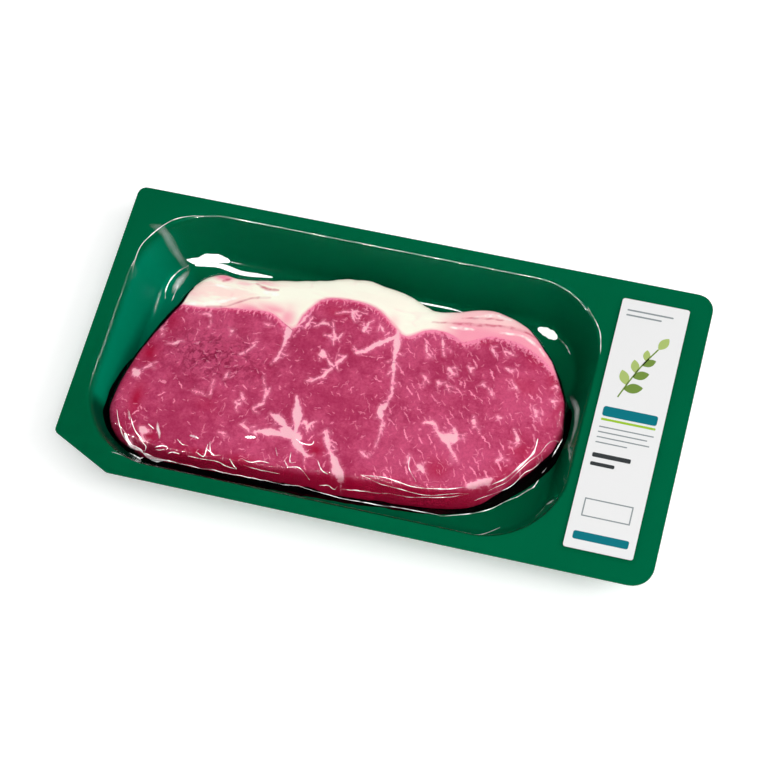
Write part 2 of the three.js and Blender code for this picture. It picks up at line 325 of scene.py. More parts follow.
def grainGroup():
    # fine bundles of fibre: small cells with darker borders, and a value that differs from cell to cell
    tree, given, out = newGroup("fibreGrain", [("Vector", "Vector", None), ("Scale", "Float", 700.0)],
                                [("Border", "Float"), ("Tone", "Float")])
    bend = addNode(tree, "TexNoise", {"Vector": given["Vector"], "Scale": 420.0,
                                      "Detail": 2.0}).outputs["Color"]
    shift = addNode(tree, "VectorMath", {0: bend, "Scale": 0.0016}, operation="SCALE").outputs[0]
    moved = addNode(tree, "VectorMath", {0: given["Vector"], 1: shift}, operation="ADD").outputs[0]
    border = addNode(tree, "TexVoronoi", {"Vector": moved, "Scale": given["Scale"]},
                     feature="DISTANCE_TO_EDGE").outputs["Distance"]
    tree.links.new(stepNode(tree, border, 0.0, 0.25), out["Border"])
    tree.links.new(noiseNode(tree, moved, given["Scale"], 3.0, 0.65), out["Tone"])
    return tree


flecks, threads, fibreGrain = fleckGroup(), threadGroup(), grainGroup()
print("tools and shared patterns ready")

# the green tray
trayShape = {
    "length": 280, "width": 148, "height": 26, "wall": 0.8,
    "frontRight": 10, "backRight": 8, "backLeft": 4,  # corner rounds
    "clipX": 29.5, "clipY": 14.5, "clipRound": 2.5,  # the clipped front left corner
    "centreX": -18.75, "halfLength": 112.75, "halfWidth": 66.5, "corner": 38,  # the recess at the rim
    "lean": 10.5, "rimRound": 1.2, "footRound": 5,  # the wall from rim to floor
    "directions": 720,
}
trayFinish = {
    "roughness": 0.12, "shine": 0.02, "low": linear(0, 88, 55), "high": linear(0, 96, 62),
    # bright is painted light on the left end wall, shaded is painted shade on the front left corner
    "bright": linear(0, 127, 94), "shaded": linear(0, 62, 42),
    "shadeRight": -88, "shadeBack": -33, "shadeDeep": -41,  # borders of the shaded front left corner
}

centre = np.array([trayShape["centreX"], 0.0])
wallTan = trayShape["lean"] / (trayShape["height"] - trayShape["wall"])


def recessReach(theta, inset):
    # reach of a rectangle with round corners, all sides moved in by the inset
    a = trayShape["halfLength"] - inset
    b = trayShape["halfWidth"] - inset
    r = np.maximum(trayShape["corner"] - inset, 0)
    c = np.maximum(np.abs(np.cos(theta)), 1e-9)
    s = np.maximum(np.abs(np.sin(theta)), 1e-9)
    along = c * (a - r) + s * (b - r)
    arc = along + np.sqrt(np.maximum(along**2 - (a - r) ** 2 - (b - r) ** 2 + r**2, 0))
    return np.where(a * s <= (b - r) * c, a / c, np.where(b * c <= (a - r) * s, b / s, arc))


def insetAt(x, y):
    # how far inside the rim a point lies: the distance to a rectangle with round corners, turned round
    a, b, r = trayShape["halfLength"], trayShape["halfWidth"], trayShape["corner"]
    qx = np.abs(x - centre[0]) - (a - r)
    qy = np.abs(y) - (b - r)
    return r - np.hypot(np.maximum(qx, 0), np.maximum(qy, 0)) - np.minimum(np.maximum(qx, qy), 0)


def traySection(outward, steps):
    # the wall in section: floor, round foot, sloping wall, round rim, flange, moved out by a wall thickness
    slant = np.hypot(1, wallTan)
    low = trayShape["wall"] - outward
    high = trayShape["height"] - outward
    wallInset = lambda z: (trayShape["height"] - z) * wallTan - outward * slant
    corners = [(trayShape["halfWidth"], low), (wallInset(low), low), (wallInset(high), high), (-150, high)]
    return roundedLine(corners, [trayShape["footRound"] + outward, trayShape["rimRound"] - outward], steps)


def trayOutline():
    x, y = trayShape["length"] / 2, trayShape["width"] / 2
    corners = [(x, -y, trayShape["frontRight"]), (x, y, trayShape["backRight"]),
               (-x, y, trayShape["backLeft"]), (-x, -y + trayShape["clipY"], trayShape["clipRound"]),
               (-x + trayShape["clipX"], -y, trayShape["clipRound"])]
    xy = [c[:2] for c in corners]
    return roundedLine([xy[-1], *xy, xy[0]], [c[2] for c in corners], 8)


theta = np.linspace(-np.pi, np.pi, trayShape["directions"], endpoint=False)
outlineReach = reachTo(trayOutline(), theta, centre)
topSection = traySection(0, 8)


def polar(reach, angles, z):
    # points at a reach, direction and height from the recess's middle line
    return np.stack([centre[0] + reach * np.cos(angles), reach * np.sin(angles),
                     np.broadcast_to(z, reach.shape)], -1)


def trayHeight(x, y):
    # height of the tray's inner face over a point, read from the section by the point's inset
    order = np.argsort(topSection[:, 0])
    return np.interp(insetAt(x, y), topSection[order, 0], topSection[order, 1])


def buildTray():
    def surface(outward):
        section = traySection(outward, 8)
        wall = section[[8]] + (section[[9]] - section[[8]]) * np.linspace(0.2, 0.8, 4)[:, None]
        section = np.vstack([section[:9], wall, section[9:]])
        profile = np.array([recessReach(theta, inset) for inset in section[:, 0]])
        floor = profile[0] * np.linspace(0.08, 0.96, 9)[:, None]
        flange = profile[-1] + (outlineReach - profile[-1]) * np.linspace(0.1, 1, 8)[:, None]
        reach = np.vstack([floor, profile, flange])
        z = np.concatenate([np.full(9, section[0, 1]), section[:, 1], np.full(8, section[-1, 1])])
        return polar(reach, theta, z[:, None])

    piece, points = lensPiece("traySheet", surface(0), surface(trayShape["wall"]), 40)
    # painted light: 1 on the left end wall, which looks toward the light, fading round both corners; there
    # the colour is painted lighter
    straight = np.array([trayShape["halfLength"], trayShape["halfWidth"]]) - trayShape["corner"]
    qx, qy = np.maximum(np.abs(points[:, :2] - centre) - straight, 0).T
    low = smoothStep(points[:, 2], trayShape["height"] - 0.4, trayShape["height"] - 3)
    left = smoothStep(qx / (np.hypot(qx, qy) + 1e-6), 0.55, 1) * (points[:, 0] < centre[0]) * low
    ahead = smoothStep(points[:, 1], trayFinish["shadeBack"], trayFinish["shadeDeep"])
    addField(piece, "paintedLightLeftWall", left * (1 - ahead))
    addField(piece, "shade", ahead * (points[:, 0] < trayFinish["shadeRight"]) * low)
    return piece


def trayMaterial():
    material, tree, shader = newMaterial("greenTraySheet", Roughness=trayFinish["roughness"],
                                         Specular_IOR_Level=trayFinish["shine"])
    where = addNode(tree, "TexCoord").outputs["Object"]
    cloudy = noiseNode(tree, where, 9.0, 2.0)
    colour = mixColour(tree, stepNode(tree, cloudy, 0.3, 0.7), trayFinish["low"], trayFinish["high"])
    # painted light on the left end wall, then painted shade on the front left corner
    colour = mixColour(tree, fieldNode(tree, "paintedLightLeftWall"), colour, trayFinish["bright"])
    colour = mixColour(tree, fieldNode(tree, "shade"), colour, trayFinish["shaded"])
    tree.links.new(colour, shader.inputs["Base Color"])
    ripple = noiseNode(tree, where, 28.0, 2.0)
    bump = addNode(tree, "Bump", {"Height": ripple, "Strength": 0.25, "Distance": 0.0015})
    tree.links.new(bump.outputs[0], shader.inputs["Normal"])
    return material


traySheet = buildTray()
traySheet.data.materials.append(trayMaterial())
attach(traySheet, "root")
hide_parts("tray")
print("tray ready")

# the slice of meat: lean and fat cap
steakShape = {
    "underside": 1.15, "top": 19.4, "bulge": 10.5, "wallClearance": 1.4,
    "outline": [
        (-122, -42), (-113.5, -52.5), (-98, -56.6), (-74, -57.4), (-48, -56.2), (-20, -54.6), (8, -51.8),
        (34, -49.4), (52, -45.2), (68, -33.6), (79, -20.6), (85.4, -6), (83.6, 10), (77.6, 24.4),
        (69.6, 34.8), (58, 45), (42, 50), (24, 45.8), (13, 44.6), (4, 48.6), (-9, 51.8), (-25, 53.2),
        (-44, 48.6), (-66, 43.4), (-82, 40.4), (-92, 40.6), (-101, 33.4), (-106.5, 22.6), (-112.5, 8),
        (-118.6, -10),
    ],
    "fatSeam": [  # between the lean and the fat cap, left to right
        (-130, 19), (-104, 19.8), (-94, 20), (-76, 23.4), (-60, 24.2), (-53, 19.4), (-48.4, 19.2),
        (-45, 28), (-38.5, 36.8), (-27, 39.2), (-12.5, 37.2), (-3, 30.6), (4, 26.4), (12.5, 31.4),
        (22, 32.6), (32, 29.2), (41, 34.6), (54, 34.6), (66, 30.2), (76, 23), (95, 8),
    ],
    # swellings and dips of the upper face: centre, reach along X and Y, height
    "relief": [
        (-84, -16, 30, 26, 1.1), (-25, 8, 22, 26, 0.9), (44, -4, 30, 26, 1.2), (3, -2, 6, 34, -0.9),
        (-51, 8, 5, 16, -0.8), (-33, -46, 16, 9, -1), (-30, 46, 46, 8, -0.6),
    ],
    # inset from the edge and depth below the upper face of the rounded shoulder
    "shoulder": [(9, 0), (6, 0.12), (3.2, 0.6), (1.9, 1.35), (0.9, 2.6), (0.3, 5), (0, 8.9)],
    "frontSlope": [(12, 0), (9, 0.12), (6.6, 0.6), (5.2, 1.4), (4, 2.9), (2.6, 5.6), (1.3, 8.8),
                   (0.4, 11.4), (0, 12.8)],
    "fatFrom": 0.14, "fatTo": 2.93,  # the angles between which the fat cap runs
    "directions": 720, "topRows": 112, "sideRows": 7,
}
# main marbling: half width, then the line through it
marbling = [
    (1.8, (-37.2, -15.6), (-34.8, -23.2), (-33.4, -30), (-33.8, -35)),
    (1.5, (-46.8, -26.2), (-42.2, -28), (-38, -31.2), (-33.6, -35)),
    (1.5, (-51.8, -36.8), (-45.4, -35.2), (-39, -35.2), (-33, -35.6)),
    (2.5, (-40, -32.4), (-34.5, -34), (-30.5, -35)),
    (1.5, (-35, -34.4), (-31, -38.4), (-27, -41.3), (-24.6, -42.8)), (0.9, (-31.2, -25.8), (-28.6, -28.6)),
    (0.8, (-25.4, -25.4), (-28.6, -28.6), (-28, -31)), (1.5, (-32.8, 8.9), (-29.5, 7.5)),
    (0.5, (-29.5, 7.5), (-25.1, 3.7), (-20.5, 9.5)), (0.9, (-25.3, 2.6), (-28.6, -3), (-33.5, -6.2)),
    (0.5, (-31.2, 25.9), (-27.6, 18.1), (-25, 20.8)), (0.4, (-33.5, 18.4), (-28.1, 18)),
    (0.6, (-109.8, 6.6), (-107.5, 1.2)), (0.5, (-104.1, -2.4), (-100.2, -0.7), (-97.1, 0.5)),
    (0.5, (-111.3, -17.4), (-106.8, -12.9)), (0.4, (-93.2, 16.9), (-88.8, 17.1), (-87.5, 14.3)),
    (0.4, (-62.2, 18.4), (-59.5, 17.4)), (0.4, (-69.1, 0.1), (-64.5, 4.9), (-63.6, 9.4)),
    (0.4, (-76.4, 8.2), (-75.6, 12.1)), (0.5, (-72.6, -14.5), (-71.8, -10.1)),
    (0.45, (-54.8, -9.4), (-51.5, -19.2), (-52.7, -23.2), (-55.5, -25.4)),
    (0.5, (-51.5, -19.2), (-50.6, -13.8)), (0.6, (-63, -19.2), (-60.6, -22.1)),
    (0.7, (-64.5, -24.3), (-61.5, -25.5)), (0.7, (-59.1, -34.4), (-54.9, -35.9)),
    (0.3, (-76.5, -24.4), (-77.2, -15.6)), (0.4, (-85.3, -22.7), (-78.5, -24.3)),
    (0.4, (-67.4, -40.6), (-64, -40.7)), (1.5, (-50.6, 22.5), (-50.4, 14.9), (-50.6, 9.6)),
    (0.7, (-50.6, 10.6), (-51.2, 4.8), (-53.2, -1.6)), (0.9, (-20.2, -28.8), (-17, -35.6), (-12.7, -41.5)),
    (1.9, (-13.6, -40.4), (-10, -45), (-7, -49)), (0.7, (-19.2, -28.6), (-15.4, -38)),
    (1.7, (-115.2, -18.9), (-112.6, -20.9)), (1.1, (-102.4, -50.7), (-100.4, -52.3)),
    (1.5, (-0.6, 29.5), (1, 20.1), (1.8, 13)), (0.8, (1.2, 18), (2.2, 9.7), (4.2, 1)),
    (0.6, (3.2, 4), (4.6, -3.1), (4, -11)), (1.6, (3.4, -9.6), (1.9, -13), (3.4, -17)),
    (0.5, (3.7, -15), (4.7, -22), (4.3, -31.8)), (1.3, (0.3, 25.8), (-6.6, 20.4), (-13.9, 13.2)),
    (0.9, (-13, 14.4), (-16.5, 12.6)), (0.7, (-47.4, 19.4), (-43.4, 27)),
    (0.6, (-42.8, 20.6), (-41.4, 26.4)), (0.5, (-38.9, 21.9), (-34.7, 24.6), (-30.2, 22.9)),
    (0.45, (-30.8, 30.9), (-24.1, 33.3), (-17, 34)), (0.5, (-24.1, 33.3), (-21.3, 28.5)),
    (0.4, (-13.1, 31.3), (-15.8, 26.2)), (0.5, (-9.4, 29.6), (-6.4, 26)), (0.8, (-20.6, 10), (-24.7, 3.8)),
    (0.9, (22.8, -15.6), (27.3, -14.2), (30.9, -18.7)), (1.5, (30, -18), (35.2, -21.6), (38, -25)),
    (2, (35.4, -19.6), (39.6, -20.4)), (1, (37.2, -14.8), (39.4, -19.3)), (0.6, (37.6, -24.4), (41.2, -29)),
    (0.5, (38.9, -25.6), (43.1, -31.3)), (0.6, (21, 28.5), (23.7, 20)), (0.5, (14, 24.8), (16.3, 17.8)),
    (0.9, (27.5, 14.5), (30.6, 11.5)), (0.8, (24.3, 6.4), (25.8, 5.2)), (0.45, (27.4, 7.1), (31, 2.5)),
    (0.45, (16.3, 8.8), (20, 5.4)), (0.8, (44.5, -7.3), (46.4, -12.5)), (0.6, (55.1, -4.9), (56.4, -5.6)),
    (0.8, (64.1, -9.5), (66.5, -13.6), (68, -15.8)), (0.7, (70.2, 3.3), (72.5, -1.6)),
    (0.5, (52.9, 20.5), (56.5, 18.8)), (0.45, (56.7, 15), (61.8, 9.5)), (0.5, (44, 29.6), (47.2, 25.3)),
    (0.45, (49.9, 29.1), (56.1, 27.4)), (0.8, (76.8, 17.3), (78.5, 16.1)), (0.7, (76.8, 9.1), (78.2, 8.4)),
    (0.6, (59.7, -27.1), (61.8, -23.6)), (0.5, (19.9, -36.3), (21.2, -32.7)),
    (1.2, (25.6, -35.8), (29.2, -39.2)), (1.6, (49.6, -40.9), (54.9, -38), (59.6, -35.2)),
    (0.5, (-1.8, -35.4), (2.6, -37.5)), (1.9, (-11.1, -46.3), (-7, -49.4)),
    (1, (-16.4, 24.9), (-15.4, 26.8)), (0.55, (-24.5, 34.5), (-21.2, 30.3)),
    (0.5, (-27.6, 18.6), (-27.8, 14.6)), (1.7, (-103.6, -46.6), (-100.2, -48.4)),
    (1.1, (-108.4, -53.6), (-105.6, -54.2)), (1.5, (49.6, -48.4), (55, -45.4)),
    (0.4, (47.4, 8.5), (51.3, 4.2)), (0.4, (44, 10.9), (46, 8.7)), (0.45, (35.8, 17.5), (39, 14)),
]
meatFinish = {
    "leanDark": linear(168, 46, 84), "leanLight": linear(211, 86, 126), "crimson": linear(172, 14, 54),
    "marble": linear(255, 154, 186), "marbleCore": linear(252, 198, 208), "creviceShade": linear(130, 14, 54),
    # black is painted shade, paintedSideGlow is painted light, side is partly painted shade
    "side": linear(152, 4, 44), "gloss": 0.0, "paintedSideGlow": 0.2, "paintedShade": linear(12, 4, 8),
    "seam": linear(222, 56, 108),
    "fat": linear(251, 250, 232), "fatBright": linear(255, 255, 248), "fatRose": linear(254, 214, 208),
    "fatPink": linear(246, 142, 170), "strip": linear(196, 40, 88),
}
# deep red places of the lean: centre, reach along X and Y, share
crimsonPatches = [
    (-110.6, -8.7, 5, 6, 0.9), (-110.1, -33, 3.2, 9, 0.9), (-99.7, -50, 6, 4, 0.8), (-22, -39.3, 4, 4, 0.9),
    (-72.7, -53, 14, 2.6, 0.9), (-53, -52, 10, 2.6, 0.9), (-77, -28.5, 6, 4, 0.35),
    (34.4, -36.6, 5.5, 5, 0.9), (66, 30, 5, 8, 0.8), (76, 20, 4, 7, 0.8), (69.5, -18.4, 6, 8, 0.6),
    (37.5, 31.5, 7, 2.5, 0.8), (64.5, -29.7, 6, 4, 0.6), (64.5, 13.3, 8, 5, 0.5), (-30, 32, 9, 4, 0.5),
    (-105, 10, 5, 9, 0.6), (24, -47, 22, 2.6, 0.7), (-2, -50.5, 9, 2.4, 0.8),
]
# blush of the fat, likewise, then its red and its bright streaks: half width and line
fatBlush = [
    (-88.2, 38, 5, 2, 1), (-71.4, 24.6, 7, 2.4, 0.75), (-60, 26.6, 8, 2.6, 0.75), (-53, 23.5, 4, 5.5, 0.8),
    (-100, 25, 5, 3, 0.3), (-78, 37, 4, 1.4, 0.5), (-66, 39.5, 5, 1.2, 0.4), (-4, 31, 3, 5, 0.4),
]
redStreaks = [
    (0.6, (14, 36), (26.8, 38.3), (36.6, 39.6), (44.6, 40.8), (51.6, 41.2), (58.1, 40.6), (64, 38.8),
     (70, 35.4)),
    (0.5, (-91.5, 20.9), (-82.5, 23.3), (-72.8, 29.5), (-63.7, 32.2)), (0.5, (-88, 36), (-84, 38.6)),
    (0.35, (-72, 38), (-66, 36.4), (-61, 37)), (0.4, (27, 41.5), (38, 43.6), (46, 44.6)),
]
brightStreaks = [
    (1.1, (-102.7, 20), (-91.1, 22.6), (-83.2, 26.2), (-74.9, 31.1)), (0.9, (-67.5, 34.3), (-60.5, 34.6)),
    (0.8, (-98, 31), (-90, 33), (-82, 33)), (1, (32, 42.5), (41, 46), (50, 46)),
    (0.9, (22, 35.6), (34, 36.6)), (0.8, (46, 38), (56, 38.4), (64, 35), (69, 30.6)),
]
twigs = {"seed": 12, "perLine": 3, "length": (1.5, 4.5), "half": (0.2, 0.38)}  # side branches of the marbling

# painted shade, near black, on the slice's edge behind the film: its width in from the slice's edge at each
# angle round it, and the height up to which it covers the front side at each X
paintedShadeRim = [
    (0, 0.9), (0.35, 1.6), (0.45, 1.4), (0.55, 0.9), (0.62, -2), (2.7, -2), (2.8, 2.4), (2.95, 3.5),
    (3.1, 2.9), (3.3, 2), (3.5, 1.2), (3.7, 0.9), (3.8, -2), (6.1, -2), (6.29, 0.9),
]
paintedShadeFoot = [
    (-118, 8), (-108, 7), (-101, 8.5), (-95, 10.4), (-84, 11), (-70, 10.6), (-50, 9.6), (-33, 9.4),
    (-22, 9.6), (-13, 6), (10, 4.8), (46, 4), (56, 5.5), (61, 9.6), (73, 13.4), (80, 14.4),
]

steakCurve = smoothCurve(steakShape["outline"], True, 12)
seamCurve = smoothCurve(steakShape["fatSeam"], False, 10)
shoulderCurve = smoothCurve(steakShape["shoulder"], False, 6)[::-1]
slopeCurve = smoothCurve(steakShape["frontSlope"], False, 6)[::-1]
wideTheta = np.linspace(-np.pi, np.pi, steakShape["directions"], endpoint=False)
seamRegion = np.vstack([seamCurve, [(95, -200), (-130, -200)]])  # everything on the lean side of the seam


def strongest(x, y, patches):
    # the strongest of soft oval patches at each point: share times e to the minus squared distance
    return np.max([share * np.exp(-(((x - cx) / rx) ** 2) - ((y - cy) / ry) ** 2)
                   for cx, cy, rx, ry, share in patches], axis=0)


def lineThrough(points):
    # a smooth curve through the points, or a straight line between two
    return smoothCurve(points if len(points) > 2 else np.linspace(*np.array(points, float), 3), False, 5)


def nearestStreak(x, y, streaks):
    # signed distance to the nearest streak, which is widest in its middle
    wander = 0.3 * waves(x, y, 19, 7.0, 3)
    gaps = []
    for half, *points in streaks:
        line = lineThrough(points)
        halves = half * np.sin(np.pi * np.linspace(0.04, 0.96, len(line))) ** 0.7
        gaps.append(distanceToLine(x, y + wander, line, halves))
    return np.clip(np.min(gaps, axis=0), -3, 6)


def upperFace(x, y):
    # the slice's upper face: a level, the named swellings and dips, and fine seeded waves
    z = steakShape["top"] + 0.18 * waves(x, y, 4, 26.0)
    for cx, cy, rx, ry, rise in steakShape["relief"]:
        z = z + rise * np.exp(-(((x - cx) / rx) ** 2) - ((y - cy) / ry) ** 2)
    return z


def edgeReach(angles):
    # the slice's edge in each direction, with the small seeded unevenness of a cut edge
    c, s = 60 * np.cos(angles), 60 * np.sin(angles)
    return reachTo(steakCurve, angles, centre) + 0.45 * waves(c, s, 8, 13.0, 3) - 0.2


def marblingLines():
    # every line of the marbling as a smooth curve with its half widths: they swell and thin from end to end,
    # and each line carries a few seeded side branches
    rng = np.random.default_rng(twigs["seed"])
    lines = []
    for half, *points in marbling:
        line = lineThrough(points)
        share = np.linspace(0, 1, len(line))
        lines.append((line, half * (0.28 + 0.72 * np.sin(np.pi * (0.12 + 0.8 * share)) ** 1.3)
                      * (1 + 0.25 * np.sin(share * 9 + half * 20))))
        for _ in range(twigs["perLine"] if half > 0.6 else 1):
            root = line[rng.integers(0, len(line))]
            turn = np.arctan2(*(line[-1] - line[0])[::-1]) + rng.choice([-1, 1]) * rng.uniform(0.5, 1.4)
            reach = rng.uniform(*twigs["length"])
            bent = turn + rng.uniform(-0.8, 0.8)
            middle = root + 0.5 * reach * np.array([np.cos(turn), np.sin(turn)])
            tip = middle + 0.5 * reach * np.array([np.cos(bent), np.sin(bent)])
            thick = rng.uniform(*twigs["half"])
            lines.append((np.array([root, middle, tip]), thick * np.array([1.0, 0.8, 0.2])))
    return lines


def frontShare(angles):
    # 1 along the front, where the slice's side slopes outward to the tray, fading to 0 at both ends
    turn = np.where(angles > np.pi / 2, angles - 2 * np.pi, angles)
    return smoothStep(turn, -2.85, -2.35) * (1 - smoothStep(turn, -0.6, -0.2))


def shoulderDrop(inset, angles):
    # how far the rounded shoulder has fallen at a distance in from the edge
    steep = np.interp(inset, shoulderCurve[:, 0], shoulderCurve[:, 1])
    gentle = np.interp(inset, slopeCurve[:, 0], slopeCurve[:, 1])
    return steep + (gentle - steep) * frontShare(angles)


def sideReach(edge, angles, z):
    # the side tucks in under its bulge as a quarter oval, and keeps clear of the tray's wall
    share = np.clip((steakShape["bulge"] - z) / (steakShape["bulge"] - steakShape["underside"]), 0, 1)
    tucked = edge - 8 * (1 - np.sqrt(1 - 0.99 * share**2.5)) * (1 - 0.85 * frontShare(angles))
    wall = recessReach(angles, (trayShape["height"] - z) * wallTan) - steakShape["wallClearance"]
    return np.minimum(tucked, wall)


def meatHeight(reach, edge, angles):
    x = centre[0] + reach * np.cos(angles)
    y = reach * np.sin(angles)
    return upperFace(x, y) - shoulderDrop(edge - reach, angles)


def buildLean():
    edge = edgeReach(wideTheta)
    seam = reachTo(seamRegion, wideTheta, centre) + 0.25
    limit = np.minimum(edge, seam)
    inner = np.minimum(edge - 9, limit - 1.0)
    rows = np.linspace(0.012, 1, steakShape["topRows"])[:, None] * inner
    shoulder = inner + (limit - inner) * np.sin(np.linspace(0.1, 1, 11) * np.pi / 2)[:, None]
    reach = np.vstack([rows, shoulder])
    top = polar(reach, wideTheta, meatHeight(reach, edge, wideTheta))
    fall = np.linspace(0, 1, steakShape["sideRows"] + 1)[1:, None]
    z = top[-1, :, 2] + (steakShape["underside"] - top[-1, :, 2]) * fall
    side = polar(np.minimum(sideReach(edge, wideTheta, z), seam), wideTheta, z)
    upper = np.concatenate([top, side])
    lower = polar(np.minimum(sideReach(edge, wideTheta, steakShape["underside"]), seam)
                  * np.array([0.1, 0.5, 0.97])[:, None], wideTheta, steakShape["underside"])
    piece, points = lensPiece("leanMeat", upper, lower)
    x, y = points[:, 0], points[:, 1]
    vein = np.full(x.shape, 6.0)
    ragged = 0.5 * waves(x, y, 11, 6.0, 4)
    for line, halves in marblingLines():
        vein = np.minimum(vein, distanceToLine(x + ragged, y - ragged, line, halves))
    addField(piece, "vein", vein)
    addField(piece, "seamGap", distanceToLine(x, y, seamCurve[::3]))
    angles = np.arctan2(points[:, 1], points[:, 0] - centre[0])
    addField(piece, "edgeGap", np.interp(angles, wideTheta, edge) - np.hypot(x - centre[0], y))
    addField(piece, "rightMuscle", smoothStep(x, 1.5, 7.0))
    addField(piece, "crimson", strongest(x, y, crimsonPatches))
    addField(piece, "front", frontShare(angles))
    addField(piece, "paintedShadeRim", np.interp(angles % (2 * np.pi), *np.array(paintedShadeRim).T))
    addField(piece, "paintedShadeFoot", np.where(y < -8, np.interp(x, *np.array(paintedShadeFoot).T) - points[:, 2], -5))
    addField(piece, "coarse", np.exp(-(((x + 80) / 24) ** 2) - ((y + 4) / 15) ** 2))
    return piece


def buildFatCap():
    # the band between seam and outer edge, carried round: top, shoulder, side, underside and inner wall
    angles = np.linspace(steakShape["fatFrom"], steakShape["fatTo"], 560)
    edge = edgeReach(angles)
    seam = np.minimum(reachTo(seamRegion, angles, centre) - 0.1, edge - 0.4)
    share = np.r_[np.linspace(0, 0.75, 26),
                  0.75 + 0.25 * np.sin(np.linspace(0.08, 1, 16) * np.pi / 2)][:, None]
    reach = seam + (edge - seam) * share
    top = polar(reach, angles, meatHeight(reach, edge, angles))
    fall = np.linspace(0, 1, steakShape["sideRows"])[1:, None]
    z = top[-1, :, 2] + (steakShape["underside"] - top[-1, :, 2]) * fall
    side = polar(np.maximum(sideReach(edge, angles, z), seam + 0.2), angles, z)
    low = polar(np.broadcast_to(seam, (1, len(angles))), angles, steakShape["underside"])
    loops = np.concatenate([top, side, low]).transpose(1, 0, 2)[:, ::-1]
    piece, points = tubesPiece("fatCap", [loops], 60)
    x, y = points[:, 0], points[:, 1]
    addField(piece, "seamGap", distanceToLine(x, y, seamCurve[::3]))
    addField(piece, "blush", strongest(x, y, fatBlush))
    addField(piece, "redGap", nearestStreak(x, y, redStreaks))
    addField(piece, "brightGap", nearestStreak(x, y, brightStreaks))
    around = np.arctan2(y, x - centre[0])
    addField(piece, "edgeGap", np.interp(around, angles, edge) - np.hypot(x - centre[0], y))
    addField(piece, "paintedShadeRim", np.interp(around % (2 * np.pi), *np.array(paintedShadeRim).T))
    return piece


def tinted(tree, colour, share, name):
    # a colour turned toward one of the meat's own colours by a share
    return mixColour(tree, share, colour, meatFinish[name])


